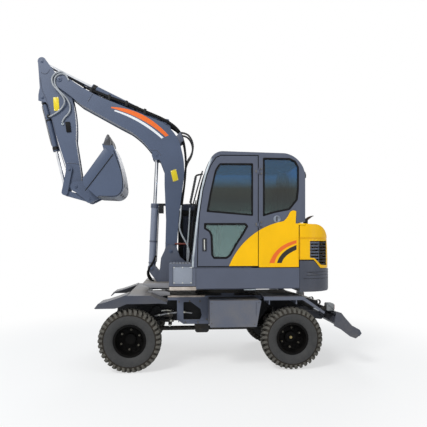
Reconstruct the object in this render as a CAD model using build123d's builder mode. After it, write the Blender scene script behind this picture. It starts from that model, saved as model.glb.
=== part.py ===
"""Wheeled excavator with a fixed-foot boom, a two-axle carrier and a rear dozer blade.

Millimetres. +Z is up, -X is the front of the machine and -Y is its left side, where the cab is.
The origin is on the ground, at the middle of the machine's length and width.
"""
import os
from math import hypot

from build123d import *

# ---------------------------------------------------------------- wheels and axles
FRONT_AXLE_X = -880.0
REAR_AXLE_X = 1354.0
TRACK_HALF = 832.5  # machine centre to tyre centre
TYRE_R = 430.0
TYRE_HALF_W = 117.5
BEAD_R = 203.0
FLANGE_R = 222.0
RIM_HALF_W = 90.0
DISC_IN = 70.0  # tyre centre to wheel disc, inboard
HUB_R = 92.0
KINGPIN_Y = 610.0

# ---------------------------------------------------------------- carrier
FRAME_TOP = 905.0
FRAME_BOTTOM = 600.0
DECK_TOP = 985.0
DECK_HALF_W = 480.0
FRAME_HALF_W = 320.0
SLEW_X = 500.0
SLEW_R = 440.0
SLEW_JOINT_Z = 1062.0  # where the fixed and the turning ring meet
BODY_HALF_W = 950.0
BLADE_PIVOT = (1300.0, 720.0)
BLADE_CYL_BASE = (1500.0, 925.0)
BLADE_CYL_EYE = (1925.0, 728.0)
BLADE_CYL_Y = 400.0

# ---------------------------------------------------------------- upper body
FLOOR_Z = 1418.0  # underside of cab and hood
SKIRT_BOTTOM = 1125.0
PLATE_BOTTOM = 1130.0
PLATE_TOP = 1170.0
CAB_Y = (-938.0, 10.0)  # left and right faces of the cab
PANEL = 12.0  # thickness of the pressed outer panels
WALL = 45.0  # cab wall and door thickness

# ---------------------------------------------------------------- tail
TAIL_X = 1980.0
CORNER_R = 470.0
CAST_X = 1446.0  # front of the counterweight
CAST_TOP = 1511.0

# ---------------------------------------------------------------- boom, arm and bucket pins (x, z)
BOOM_FOOT = (-339.0, 1631.0)
BOOM_CYL_BASE = (-633.0, 1367.0)
BOOM_CYL_EYE = (-556.0, 3095.0)
ARM_PIN = (-2006.0, 4216.0)
ARM_CYL_BASE = (-417.0, 3604.0)
ARM_CYL_EYE = (-2279.0, 4499.0)
BUCKET_CYL_BASE = (-2271.0, 3956.0)
BUCKET_PIN = (-1768.0, 2606.0)
SIDE_LINK_PIN = (-1867.0, 2869.0)
LINK_PIN = (-1935.0, 2523.0)
BUCKET_LINK_PIN = (-1566.0, 2426.0)

FIT = 0.3  # running clearance of a round fit
PIN_R = 30.0
BOOM_HALF_W = 140.0
ARM_HALF_W = 85.0
EAR_IN = 92.0  # inner face of every ear that straddles the arm
BUCKET_HALF_W = 325.0

os.makedirs("parts", exist_ok=True)


def side(y):
    """Plane seen from the machine's left: local x runs back, local y runs up."""
    return Plane.XZ.offset(-y)


def polygon(points, corner=0.0):
    """Add a polygon to the sketch being drawn, with its corners rounded."""
    Polygon(*points, align=None)
    if corner:
        fillet(vertices(), corner)


def cross_disc(centre, radius, half_width, mode=Mode.ADD):
    """Add or cut a cylinder that lies across the machine, centred on the part's middle."""
    with BuildSketch(Plane.XZ) as disc:
        with Locations(centre):
            Circle(radius)
    extrude(disc.sketch, amount=half_width, both=True, mode=mode)


def slab(points, y_low, y_high, corner=0.0, mode=Mode.ADD):
    """Add or cut a plate with a side outline, between two widths."""
    with BuildSketch(side(y_high)) as outline:
        polygon(points, corner)
    extrude(outline.sketch, amount=y_high - y_low, mode=mode)


def block(x_range, y_range, z_range, mode=Mode.ADD):
    """Add or cut a box between three pairs of limits."""
    size = [high - low for low, high in (x_range, y_range, z_range)]
    centre = [(low + high) / 2 for low, high in (x_range, y_range, z_range)]
    with Locations(tuple(centre)):
        Box(*size, mode=mode)


def rod_plane(start, end):
    """Plane at a pin, its local y running along the centre line to another pin."""
    direction = Vector(end[0] - start[0], 0, end[1] - start[1])
    return Plane(origin=(start[0], 0, start[1]), x_dir=(0, 1, 0), z_dir=direction.normalized())


def span(start, end):
    return hypot(end[0] - start[0], end[1] - start[1])


def save(part, label):
    part.label = label
    export_step(part, f"parts/{label}.step")


# ================================================================ carrier
# Welded box with a slew pedestal, side gussets behind the front axle and ears for the blade.
with BuildPart() as chassis_frame:
    slab(
        [(-1120, FRAME_TOP), (-1120, 700), (-1060, FRAME_BOTTOM), (1000, FRAME_BOTTOM), (1150, 790), (1840, 790),
         (1900, 805), (1900, 870), (1500, DECK_TOP), (-420, DECK_TOP), (-520, FRAME_TOP)],
        -FRAME_HALF_W, FRAME_HALF_W)
    block((-380, 1000), (-DECK_HALF_W, DECK_HALF_W), (DECK_TOP - 62, DECK_TOP))
    for y_low in (-DECK_HALF_W, DECK_HALF_W - 20):
        slab([(-243, 924), (219, 924), (219, 575), (-150, 575), (-243, 640)], y_low, y_low + 20)
        slab([(-150, 895), (-40, 895), (100, 790), (115, 700), (95, 640), (-150, 640)], y_low, y_low + 20,
             corner=12, mode=Mode.SUBTRACT)
    for x in (-225, 199):
        block((x, x + 14), (-DECK_HALF_W, DECK_HALF_W), (FRAME_BOTTOM, 924))
    with BuildSketch(Plane.XY.offset(DECK_TOP - 20)) as pedestal:
        with Locations((SLEW_X, 0)):
            Circle(SLEW_R + 25)
    extrude(pedestal.sketch, amount=55)
    blade_ear = [(1210, 795), (1390, 795), (1350, 690), (1330, 665), (1270, 665), (1250, 690)]
    for y_low in (-300, -230, 210, 280):
        slab(blade_ear, y_low, y_low + 20)
    for y_low in (-300, 210):
        with BuildSketch(side(y_low + 90)) as pin:
            with Locations(BLADE_PIVOT):
                Circle(PIN_R)
        extrude(pin.sketch, amount=90)
    cross_disc(BLADE_CYL_BASE, 24, BLADE_CYL_Y + 50)
    cross_disc(BLADE_CYL_BASE, 42, BLADE_CYL_Y - 45)
save(chassis_frame.part, "chassis_frame")

# Plate eyes for lashing the machine down: two on the front end of the frame, two on its rear end.
TIE_DOWN_R = 25.0
FRONT_EYE = (-1162.0, 820.0)
REAR_EYE = (1942.0, 838.0)
with BuildPart() as tie_down_eyes:
    for y_low in (-200, 176):
        slab([(-1120, 790), (-1150, 777), (-1185, 782), (-1205, 802), (-1205, 838), (-1185, 858), (-1150, 863),
              (-1120, 850)], y_low, y_low + 24)
        slab([(1900, 808), (1930, 795), (1965, 800), (1985, 820), (1985, 856), (1965, 878), (1900, 870)],
             y_low, y_low + 24)
    cross_disc(FRONT_EYE, TIE_DOWN_R, 300, mode=Mode.SUBTRACT)
    cross_disc(REAR_EYE, TIE_DOWN_R, 300, mode=Mode.SUBTRACT)
save(tie_down_eyes.part, "tie_down_eyes")

# Tool and battery boxes that hang on the deck between the wheels, with a foot rail below.
SIDE_BOX = [(206, 968), (915, 968), (850, 605), (206, 605)]
with BuildPart() as side_boxes:
    slab(SIDE_BOX, DECK_HALF_W, BODY_HALF_W - 5, corner=14)
    block((838, 846), (BODY_HALF_W - 11, BODY_HALF_W), (760, 940), mode=Mode.SUBTRACT)
    mirror(about=Plane.XZ)
save(side_boxes.part, "side_boxes")

# Bent sheet guards over the front wheels, on a square cross tube that sits on the frame.
with BuildPart() as front_fenders:
    block((-915, -672), (-BODY_HALF_W, BODY_HALF_W), (936, 1046))
    block((-900, -690), (-250, 250), (FRAME_TOP, 936))
    for y_low, y_high in ((-BODY_HALF_W, -520), (520, BODY_HALF_W)):
        slab([(-1343, 880), (-1296, 940), (-1200, 962), (-1068, 1004), (-930, 1054), (-915, 1054), (-915, 1044),
              (-930, 1044), (-1065, 994), (-1198, 952), (-1290, 930), (-1330, 874)], y_low, y_high)
        slab([(-672, 1046), (-600, 1046), (-376, 950), (-376, 938), (-602, 1036), (-672, 1036)], y_low, y_high)
    for y_low in (-BODY_HALF_W, BODY_HALF_W - 8):
        slab([(-1343, 880), (-1296, 940), (-1200, 962), (-1068, 1004), (-930, 1054), (-915, 1054), (-915, 936),
              (-1000, 900), (-1068, 876), (-1330, 874)], y_low, y_low + 8)
        slab([(-672, 1046), (-600, 1046), (-376, 950), (-376, 930), (-480, 940), (-640, 936), (-672, 936)],
             y_low, y_low + 8)
save(front_fenders.part, "front_fenders")

# Rear wheel guards with a turned-down rim, on rib plates welded to the frame sides.
with BuildPart() as rear_fenders:
    sheet = [(949, 1016), (1500, 1016), (1804, 800), (1797, 792), (1497, 1006), (949, 1006)]
    rim = [(949, 1016), (1500, 1016), (1804, 800), (1790, 775), (1490, 968), (949, 968)]
    for y_low, y_high in ((-BODY_HALF_W, -480), (480, BODY_HALF_W)):
        slab(sheet, y_low, y_high)
    for y_low in (-BODY_HALF_W, BODY_HALF_W - 8):
        slab(rim, y_low, y_low + 8)
    for x in (1020, 1400):
        for y_low, y_high in ((-BODY_HALF_W + 8, -FRAME_HALF_W), (FRAME_HALF_W, BODY_HALF_W - 8)):
            block((x, x + 12), (y_low, y_high), (910, 1008))
save(rear_fenders.part, "rear_fenders")

# Fixed half of the slewing ring, with its ring of bolt heads.
with BuildPart() as slew_ring:
    with BuildSketch(Plane.XY.offset(DECK_TOP + 35)):
        with Locations((SLEW_X, 0)):
            Circle(SLEW_R)
            Circle(SLEW_R - 80, mode=Mode.SUBTRACT)
    extrude(amount=SLEW_JOINT_Z - DECK_TOP - 35)
save(slew_ring.part, "slew_ring")


def axle_housing(x, half_length):
    """Axle tube with the differential's round housing, lying across the machine."""
    cross_disc((x, TYRE_R), 78, half_length)
    with BuildSketch(Plane.YZ.offset(x)) as bulge:
        with Locations((0, TYRE_R)):
            Circle(150)
    extrude(bulge.sketch, amount=95, both=True)
    fillet(edges().filter_by(GeomType.CIRCLE).group_by(SortBy.RADIUS)[-1], 40)


# Steering axle: housing, centre pivot block under the frame, and a yoke with a king pin at each end.
with BuildPart() as front_axle:
    axle_housing(FRONT_AXLE_X, 520)
    block((FRONT_AXLE_X - 110, FRONT_AXLE_X + 110), (-90, 90), (520, FRAME_BOTTOM))
    for direction in (-1, 1):
        y_low, y_high = sorted((direction * 490, direction * 545))
        block((FRONT_AXLE_X - 62, FRONT_AXLE_X + 62), (y_low, y_high), (296, 564))
        for z in (296, 534):
            y_low, y_high = sorted((direction * 540, direction * KINGPIN_Y))
            block((FRONT_AXLE_X - 62, FRONT_AXLE_X + 62), (y_low, y_high), (z, z + 30))
            with BuildSketch(Plane.XY.offset(z)) as ear:
                with Locations((FRONT_AXLE_X, direction * KINGPIN_Y)):
                    Circle(62)
            extrude(ear.sketch, amount=30)
        with BuildSketch(Plane.XY.offset(290)) as king_pin:
            with Locations((FRONT_AXLE_X, direction * KINGPIN_Y)):
                Circle(22)
        extrude(king_pin.sketch, amount=280)
save(front_axle.part, "front_axle")

# Driving axle: housing, two pads up to the frame and a spindle at each end.
with BuildPart() as rear_axle:
    axle_housing(REAR_AXLE_X, 700)
    for y_low in (-190, 120):
        block((REAR_AXLE_X - 62, REAR_AXLE_X + 62), (y_low, y_low + 70), (TYRE_R, 790))
    for y_end in (700, -640):
        with BuildSketch(side(y_end)) as drum:
            with Locations((REAR_AXLE_X, TYRE_R)):
                Circle(110)
        extrude(drum.sketch, amount=60)
    cross_disc((REAR_AXLE_X, TYRE_R), 40, 770)
save(rear_axle.part, "rear_axle")

# Transfer gearbox under the frame, with a propeller shaft to each axle.
with BuildPart() as driveline:
    block((31, 245), (-130, 130), (379, FRAME_BOTTOM))
    fillet(edges().filter_by(Axis.Y).group_by(Axis.Z)[0], 40)
    for x_low, x_high in ((FRONT_AXLE_X + 95, 31), (245, REAR_AXLE_X - 95)):
        with BuildSketch(Plane.YZ.offset(x_low)) as shaft:
            with Locations((0, TYRE_R)):
                Circle(34)
        extrude(shaft.sketch, amount=x_high - x_low)
save(driveline.part, "driveline")

# Steering knuckles: upright, spindle for the hub, and an arm that the tie rod works.
for name, direction in (("left", -1), ("right", 1)):
    with BuildPart() as knuckle:
        with BuildSketch(Plane.XY.offset(328)) as upright:
            with Locations((FRONT_AXLE_X, direction * KINGPIN_Y)):
                Circle(56)
        extrude(upright.sketch, amount=204)
        with BuildSketch(side(direction * (KINGPIN_Y + 30))) as neck:
            with Locations((FRONT_AXLE_X, TYRE_R)):
                Circle(70)
        extrude(neck.sketch, amount=-direction * 62)
        with BuildSketch(side(direction * (KINGPIN_Y + 90))) as spindle:
            with Locations((FRONT_AXLE_X, TYRE_R)):
                Circle(40)
        extrude(spindle.sketch, amount=-direction * 70)
        y_low, y_high = sorted((direction * (KINGPIN_Y - 20), direction * (KINGPIN_Y + 30)))
        block((FRONT_AXLE_X - 185, FRONT_AXLE_X), (y_low, y_high), (350, 376))
        with BuildSketch(Plane.XY.offset(320)) as king_bore:
            with Locations((FRONT_AXLE_X, direction * KINGPIN_Y)):
                Circle(22 + FIT)
        extrude(king_bore.sketch, amount=230, mode=Mode.SUBTRACT)
    save(knuckle.part, f"knuckle_{name}")

# Tie rod between the two steering arms, with a ball-joint body on each end.
with BuildPart() as tie_rod:
    with BuildSketch(side(KINGPIN_Y + 5)) as bar:
        with Locations((FRONT_AXLE_X - 160, 400)):
            Circle(15)
    extrude(bar.sketch, amount=2 * (KINGPIN_Y + 5))
    for direction in (-1, 1):
        with BuildSketch(Plane.XY.offset(380)) as joint_body:
            with Locations((FRONT_AXLE_X - 160, direction * (KINGPIN_Y + 5))):
                Circle(26)
        extrude(joint_body.sketch, amount=42)
save(tie_rod.part, "tie_rod")

# ================================================================ wheels
# Sections run from the hub outwards: (distance outboard of the tyre's middle, radius).
RIM_SECTION = [
    (-RIM_HALF_W, BEAD_R), (-RIM_HALF_W, FLANGE_R), (-RIM_HALF_W + 8, FLANGE_R), (-RIM_HALF_W + 8, BEAD_R),
    (-20, BEAD_R - 18), (30, BEAD_R - 18), (RIM_HALF_W - 8, BEAD_R), (RIM_HALF_W - 8, FLANGE_R),
    (RIM_HALF_W, FLANGE_R), (RIM_HALF_W, BEAD_R - 8), (32, BEAD_R - 27), (-20, BEAD_R - 27),
    (-DISC_IN + 14, BEAD_R - 14), (-DISC_IN + 8, 160), (-DISC_IN + 8, 84), (-DISC_IN + 40, 78),
    (-DISC_IN + 46, 60), (-DISC_IN + 46, 0), (-DISC_IN + 14, 0), (-DISC_IN + 14, 40 + FIT),
    (-DISC_IN - 44, 40 + FIT), (-DISC_IN - 44, HUB_R), (-DISC_IN - 22, HUB_R), (-DISC_IN - 22, 165),
    (-DISC_IN - 4, 165), (-DISC_IN - 4, BEAD_R - 12), (-RIM_HALF_W, BEAD_R - 8),
]
TYRE_SECTION = [
    (-RIM_HALF_W + 8, BEAD_R), (-RIM_HALF_W + 8, FLANGE_R + 4), (-TYRE_HALF_W, 300), (-TYRE_HALF_W, 335),
    (-TYRE_HALF_W + 10, 385), (-TYRE_HALF_W + 18, 412), (-70, 424), (0, TYRE_R), (70, 424),
    (TYRE_HALF_W - 18, 412), (TYRE_HALF_W - 10, 385), (TYRE_HALF_W, 335), (TYRE_HALF_W, 300),
    (RIM_HALF_W - 8, FLANGE_R + 4), (RIM_HALF_W - 8, BEAD_R), (30, BEAD_R - 18), (-20, BEAD_R - 18),
]
WHEELS = [  # name, axle x, side of the machine
    ("front_left", FRONT_AXLE_X, -1),
    ("front_right", FRONT_AXLE_X, 1),
    ("rear_left", REAR_AXLE_X, -1),
    ("rear_right", REAR_AXLE_X, 1),
]
for name, x, direction in WHEELS:
    wheel_plane = Plane(origin=(x, direction * TRACK_HALF, TYRE_R), x_dir=(0, direction, 0), z_dir=(1, 0, 0))
    axle_line = Axis((x, 0, TYRE_R), (0, 1, 0))
    with BuildPart() as wheel:
        with BuildSketch(wheel_plane) as section:
            polygon([(out, radius * direction) for out, radius in RIM_SECTION])
        revolve(section.sketch, axis=axle_line)
        nut_plane = Plane(origin=(x, direction * (TRACK_HALF - DISC_IN + 8), TYRE_R), z_dir=(0, direction, 0))
        with BuildSketch(nut_plane) as nuts:
            with PolarLocations(137, 6, start_angle=25):
                RegularPolygon(19, 6)
        extrude(nuts.sketch, amount=20)
    save(wheel.part, f"wheel_{name}")
    with BuildPart() as tyre:
        with BuildSketch(wheel_plane) as section:
            polygon([(out, radius * direction) for out, radius in TYRE_SECTION])
        revolve(section.sketch, axis=axle_line)
    save(tyre.part, f"tyre_{name}")

# ================================================================ blade
# Curved mouldboard with end plates, a stiffening box and a cutting edge, on two arms.
BLADE_END = [
    (1967, 805), (2038, 783), (2088, 720), (2188, 607), (2300, 546), (2329, 490), (2243, 424), (2160, 455),
    (2031, 554), (1932, 604),
]
with BuildPart() as dozer_blade:
    with BuildSketch(Plane.XZ) as section:
        with BuildLine():
            ThreePointArc((1985, 797), (2104, 602), (2290, 470))
            Line((2290, 470), (2280, 458))
            ThreePointArc((2280, 458), (2093, 591), (1972, 790))
            Line((1972, 790), (1985, 797))
        make_face()
        polygon([(2240, 510), (2300, 452), (2329, 490), (2288, 530)])
        polygon([(1985, 720), (2070, 610), (2040, 570), (1950, 640)])
    extrude(section.sketch, amount=BODY_HALF_W - 10, both=True)
    for y_low in (-BODY_HALF_W, BODY_HALF_W - 12):
        slab(BLADE_END, y_low, y_low + 12, corner=14)
    for y_low in (-279, 231):
        slab([(1290, 772), (1960, 700), (2020, 640), (1970, 585), (1290, 668)], y_low, y_low + 48)
        with BuildSketch(side(y_low + 48)) as hub:
            with Locations(BLADE_PIVOT):
                Circle(52)
        extrude(hub.sketch, amount=48)
    cross_disc(BLADE_PIVOT, PIN_R + FIT, 400, mode=Mode.SUBTRACT)
    eye_plate = [(1885, 762), (1955, 768), (2005, 715), (1985, 650), (1930, 660), (1885, 700)]
    for y_low in (-BLADE_CYL_Y - 46, -BLADE_CYL_Y + 30, BLADE_CYL_Y - 46, BLADE_CYL_Y + 30):
        slab(eye_plate, y_low, y_low + 16, corner=8)
save(dozer_blade.part, "dozer_blade")


def cylinder_barrel(base, eye, radius, length, rod_radius, eye_width, pin_radius, y=0.0):
    """Barrel of a hydraulic cylinder: base eye, tube, gland and the bore that the rod slides in."""
    along = rod_plane(base, eye)
    with BuildSketch(along) as tube:
        with Locations((y, 0)):
            Circle(radius)
    with BuildSketch(along.offset(length - 60)) as gland:
        with Locations((y, 0)):
            Circle(radius + 6)
    with BuildSketch(along.offset(radius + 40)) as bore:
        with Locations((y, 0)):
            Circle(rod_radius + FIT)
    extrude(tube.sketch, amount=length)
    extrude(gland.sketch, amount=60)
    with BuildSketch(side(y + eye_width / 2)) as base_eye:
        with Locations(base):
            Circle(radius + 6)
    extrude(base_eye.sketch, amount=eye_width)
    with BuildSketch(side(y + eye_width)) as pin:
        with Locations(base):
            Circle(pin_radius + FIT)
    extrude(pin.sketch, amount=2 * eye_width, mode=Mode.SUBTRACT)
    extrude(bore.sketch, amount=length, mode=Mode.SUBTRACT)


def cylinder_rod(base, eye, inner, rod_radius, eye_radius, eye_width, hole_radius, y=0.0):
    """Rod of a hydraulic cylinder, from inside the barrel to its eye."""
    total = span(base, eye)
    along = rod_plane(base, eye)
    with BuildSketch(along.offset(inner)) as bar:
        with Locations((y, 0)):
            Circle(rod_radius)
    extrude(bar.sketch, amount=total - inner - hole_radius)
    with BuildSketch(side(y + eye_width / 2)) as rod_eye:
        with Locations(eye):
            Circle(eye_radius)
            Circle(hole_radius, mode=Mode.SUBTRACT)
    extrude(rod_eye.sketch, amount=eye_width)


BLADE_CYL_LENGTH = 330.0
with BuildPart() as blade_barrels:
    for y in (-BLADE_CYL_Y, BLADE_CYL_Y):
        cylinder_barrel(BLADE_CYL_BASE, BLADE_CYL_EYE, 36, BLADE_CYL_LENGTH, 20, 50, 24, y)
save(blade_barrels.part, "blade_barrels")
with BuildPart() as blade_rods:
    for y in (-BLADE_CYL_Y, BLADE_CYL_Y):
        cylinder_rod(BLADE_CYL_BASE, BLADE_CYL_EYE, 150, 20, 34, 44, 18, y)
save(blade_rods.part, "blade_rods")

# ================================================================ upper structure
# Floor plate with the turning half of the slewing ring, two main webs and the posts that carry the cab.
with BuildPart() as upper_frame:
    with BuildSketch(Plane.XY.offset(PLATE_BOTTOM)) as floor:
        polygon([(-740, -330), (-349, -330), (-349, -925), (CAST_X, -925), (CAST_X, 925), (-349, 925), (-349, 330),
                 (-740, 330)])
    extrude(floor.sketch, amount=PLATE_TOP - PLATE_BOTTOM)
    with BuildSketch(Plane.XY.offset(SLEW_JOINT_Z + 0.5)) as ring:
        with Locations((SLEW_X, 0)):
            Circle(SLEW_R - 10)
            Circle(SLEW_R - 80, mode=Mode.SUBTRACT)
    extrude(ring.sketch, amount=PLATE_BOTTOM - SLEW_JOINT_Z - 0.5)
    for y_low in (-205, 170):
        slab([(100, PLATE_TOP), (950, PLATE_TOP), (900, 1360), (100, 1400)], y_low, y_low + 35)
    for x, y in ((60, -880), (690, -880), (60, -90), (690, -90), (240, 820), (1340, 820)):
        block((x, x + 70), (y, y + 70), (PLATE_TOP, FLOOR_Z))
save(upper_frame.part, "upper_frame")

# Boom foot: two heavy plates with the foot pin, and inner ears in front for the boom cylinder.
with BuildPart() as boom_bracket:
    main_plate = [(-560, PLATE_TOP), (-502, 1376), (-487, 1528), (-425, 1660), (-250, 1680), (-199, 1543),
                  (-108, 1466), (-60, 1446), (-50, 1412), (90, 1400), (90, PLATE_TOP)]
    for y_low in (-205, 170):
        slab(main_plate, y_low, y_low + 35)
        with BuildSketch(side(y_low + 35)) as lobe:
            with Locations(BOOM_FOOT):
                Circle(95)
        extrude(lobe.sketch, amount=35)
    front_ear = [(-560, PLATE_TOP), (-660, 1300), (-695, 1345), (-690, 1400), (-640, 1425), (-590, 1410), (-500, 1300),
                 (-440, PLATE_TOP)]
    for y_low in (-92, 62):
        slab(front_ear, y_low, y_low + 30, corner=14)
    block((-470, -440), (-205, 205), (PLATE_TOP, 1330))
    cross_disc(BOOM_FOOT, 35, 205)
    cross_disc(BOOM_CYL_BASE, 27, 100)
save(boom_bracket.part, "boom_bracket")

# Pressed side skirts below the cab and hood, with a turned-in lower lip.
with BuildPart() as skirts:
    slab([(16, FLOOR_Z - 4), (CAST_X - 4, FLOOR_Z - 4), (CAST_X - 4, SKIRT_BOTTOM), (16, SKIRT_BOTTOM)],
         -BODY_HALF_W, -925)
    chamfer(edges().filter_by(Axis.X).group_by(Axis.Z)[0].sort_by(Axis.Y)[0], 14)
    mirror(about=Plane.XZ)
save(skirts.part, "skirts")

# Step box in front of the door, with a recessed panel in its side.
with BuildPart() as front_steps:
    block((-349, -46), (-BODY_HALF_W, -360), (PLATE_TOP, 1473))
    block((-46, 12), (-BODY_HALF_W, -360), (PLATE_TOP, FLOOR_Z - 4))
    block((-300, -30), (-BODY_HALF_W, -BODY_HALF_W + 14), (1195, 1440), mode=Mode.SUBTRACT)
    mirror(about=Plane.XZ)
    block((-349, 12), (360, BODY_HALF_W), (FLOOR_Z, 1480), mode=Mode.SUBTRACT)
save(front_steps.part, "front_steps")


def tail_plan(x_front, x_rear, half, corner, mode=Mode.ADD):
    """Add or cut a plan of the tail: a strip across the machine with both rear corners rounded."""
    with BuildLine() as outline:
        Polyline((x_rear - corner, -half), (x_front, -half), (x_front, half), (x_rear - corner, half))
        Line((x_rear, corner - half), (x_rear, half - corner))
        CenterArc((x_rear - corner, half - corner), corner, 0, 90)
        CenterArc((x_rear - corner, corner - half), corner, 270, 90)
    make_face(outline.edges(), mode=mode)


# Cast counterweight, rounded in plan and under its tail, with three grooves round its side.
GROOVES = [  # height, x where it starts
    (1352.0, 1545.0),
    (1310.0, 1545.0),
    (1262.0, 1500.0),
]
GROOVE_DEPTH = 10.0
with BuildPart() as counterweight:
    with BuildSketch(side(BODY_HALF_W)) as outline:
        polygon([(CAST_X, 1080), (TAIL_X, 1080), (TAIL_X, 1385), (1760, 1400), (1650, CAST_TOP), (CAST_X, CAST_TOP)])
        fillet(vertices().group_by(Axis.Y)[0].sort_by(Axis.X)[-1], 90)
    extrude(outline.sketch, amount=2 * BODY_HALF_W)
    with BuildSketch(Plane.XY.offset(1000)) as plan:
        tail_plan(1400, TAIL_X, BODY_HALF_W, CORNER_R)
    extrude(plan.sketch, amount=600, mode=Mode.INTERSECT)
    for z, x_front in GROOVES:
        with BuildSketch(Plane.XY.offset(z - 5)) as groove:
            tail_plan(x_front, TAIL_X + 50, BODY_HALF_W + 50, CORNER_R)
            tail_plan(1400, TAIL_X - GROOVE_DEPTH, BODY_HALF_W - GROOVE_DEPTH, CORNER_R - GROOVE_DEPTH,
                      mode=Mode.SUBTRACT)
        extrude(groove.sketch, amount=10, mode=Mode.SUBTRACT)
save(counterweight.part, "counterweight")

# Engine, pump and gearbox as one block on the floor plate.
with BuildPart() as engine_block:
    block((960, 1430), (-420, 420), (PLATE_TOP, 1760))
save(engine_block.part, "engine_block")

# ---------------------------------------------------------------- engine hood and cowl
HOOD_TOP = 2033.0
HOOD_X = 1532.0  # front edge of its top sheet
HOOD_SIDE_X = 1450.0  # front edge of its sides
HOOD_HINGE = (1538.0, 2047.0)
HOOD_HALF_W = 940.0
HOOD_REAR = 1960.0
HOOD_CORNER = 400.0
SHOULDER_Z = 1832.0
SHOULDER = 16.0  # how far the sides step in below the shoulder
HOOD_WALL = 20.0


def hood_storey(inset, step, z_low, z_high):
    """One storey of the hood's form: its side profile, cut to a rounded plan that is stepped in by step."""
    with BuildPart() as storey:
        with BuildSketch(Plane.XZ) as profile:
            with BuildLine():
                Polyline((1640, 2019), (1592, 2022), (1437, HOOD_TOP), (1437, 1380), (1955, 1380), (1892, SHOULDER_Z))
                ThreePointArc((1892, SHOULDER_Z), (1815, 1962), (1640, 2019))
            make_face()
            if inset:
                offset(amount=-inset, mode=Mode.REPLACE, kind=Kind.INTERSECTION)
            Polygon((1300, z_low), (2100, z_low), (2100, z_high), (1300, z_high), align=None, mode=Mode.INTERSECT)
        extrude(profile.sketch, amount=HOOD_HALF_W, both=True)
        with BuildSketch(Plane.XY.offset(1300)) as plan:
            tail_plan(1300, HOOD_REAR - inset, HOOD_HALF_W - inset - step, HOOD_CORNER - inset)
        extrude(plan.sketch, amount=900, mode=Mode.INTERSECT)
    return storey.part


# Tilting hood: a pressed shell with a shoulder round it, open below, with a grille opening in each side.
GRILLE = [(1600, 1785), (1600, 1552), (1668, 1545), (1772, 1450), (1880, 1440), (1880, 1785)]
SLATS = 8
EXHAUST_XY = (1640, -560)
EXHAUST_R = 34.0
HOOD_HINGE_Y = (-500.0, 440.0)  # where each hinge starts
KNUCKLE = 30.0
hood_outer = hood_storey(0, 0, SHOULDER_Z, 2200) + hood_storey(0, SHOULDER, 1300, SHOULDER_Z)
hood_inner = (hood_storey(HOOD_WALL, 0, SHOULDER_Z + 14, 2200)
              + hood_storey(HOOD_WALL, SHOULDER, 1300, SHOULDER_Z + 14))
hood_shell = hood_outer - hood_inner
with BuildPart() as hood:
    add(hood_shell)
    block((1300, HOOD_X), (-1000, 1000), (HOOD_TOP - 33, 2200), mode=Mode.SUBTRACT)
    block((1300, HOOD_SIDE_X), (-1000, 1000), (1300, 2200), mode=Mode.SUBTRACT)
    block((1300, 1480), (-915, 915), (1300, 2200), mode=Mode.SUBTRACT)
    slab([(1400, 1300), (1400, CAST_TOP + 14), (1655, CAST_TOP + 14), (1766, 1407), (2050, 1392), (2050, 1300)],
         -1000, 1000, mode=Mode.SUBTRACT)
    for y_low in (-1000, 500):
        slab(GRILLE, y_low, y_low + 500, mode=Mode.SUBTRACT)
    with BuildSketch(Plane.XY.offset(1900)) as pipe_hole:
        with Locations(EXHAUST_XY):
            Circle(EXHAUST_R)
    extrude(pipe_hole.sketch, amount=200, mode=Mode.SUBTRACT)
    for y in HOOD_HINGE_Y:
        y_low = y + KNUCKLE + 1
        slab([(1590, 2012), (1590, 2034), (1538, 2054), (1534, 2043), (1552, 2032), (1552, 2012)], y_low,
             y_low + KNUCKLE)
        with BuildSketch(side(y_low + KNUCKLE)) as knuckle:
            with Locations(HOOD_HINGE):
                Circle(8)
        extrude(knuckle.sketch, amount=KNUCKLE)
save(hood.part, "hood")

# Side grilles: level slats that follow the hood's rounded corner, on three upright bars.
with BuildPart() as grilles:
    for bar_x in (1601, 1735, 1867):
        with BuildSketch(Plane.XY.offset(1441)) as bar:
            tail_plan(1500, HOOD_REAR - 10, HOOD_HALF_W - SHOULDER - 10, HOOD_CORNER - 10)
            tail_plan(1300, HOOD_REAR - 26, HOOD_HALF_W - SHOULDER - 26, HOOD_CORNER - 26, mode=Mode.SUBTRACT)
            Polygon((bar_x, -1000), (bar_x + 12, -1000), (bar_x + 12, 1000), (bar_x, 1000), align=None,
                    mode=Mode.INTERSECT)
        extrude(bar.sketch, amount=343)
    pitch = (1784 - 1441) / SLATS
    for row in range(SLATS):
        with BuildSketch(Plane.XY.offset(1441 + pitch * row + 8)) as slat:
            tail_plan(1500, HOOD_REAR - 4, HOOD_HALF_W - SHOULDER - 4, HOOD_CORNER - 4)
            tail_plan(1300, HOOD_REAR - 20, HOOD_HALF_W - SHOULDER - 20, HOOD_CORNER - 20, mode=Mode.SUBTRACT)
            Polygon((1601, -1000), (1879, -1000), (1879, 1000), (1601, 1000), align=None, mode=Mode.INTERSECT)
        extrude(slat.sketch, amount=pitch * 0.48)
    slab(GRILLE, -1000, 1000, mode=Mode.INTERSECT)
save(grilles.part, "grilles")

# Bulkhead in front of the engine, with the fixed strip under the cab's overhang that carries the hood hinges.
with BuildPart() as engine_cowl:
    block((1432, 1444), (-915, 915), (PLATE_TOP, 2010))
    slab([(1437, 2006), (1437, HOOD_TOP), (1528, 2027), (1528, 2006)], -HOOD_HALF_W, HOOD_HALF_W)
    for y in HOOD_HINGE_Y:
        slab([(1500, 2012), (1500, 2026), (1531, 2044), (1538, 2054), (1545, 2047), (1528, 2030), (1524, 2012)], y,
             y + KNUCKLE)
        with BuildSketch(side(y + KNUCKLE)) as knuckle:
            with Locations(HOOD_HINGE):
                Circle(8)
        extrude(knuckle.sketch, amount=KNUCKLE)
save(engine_cowl.part, "engine_cowl")

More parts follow.
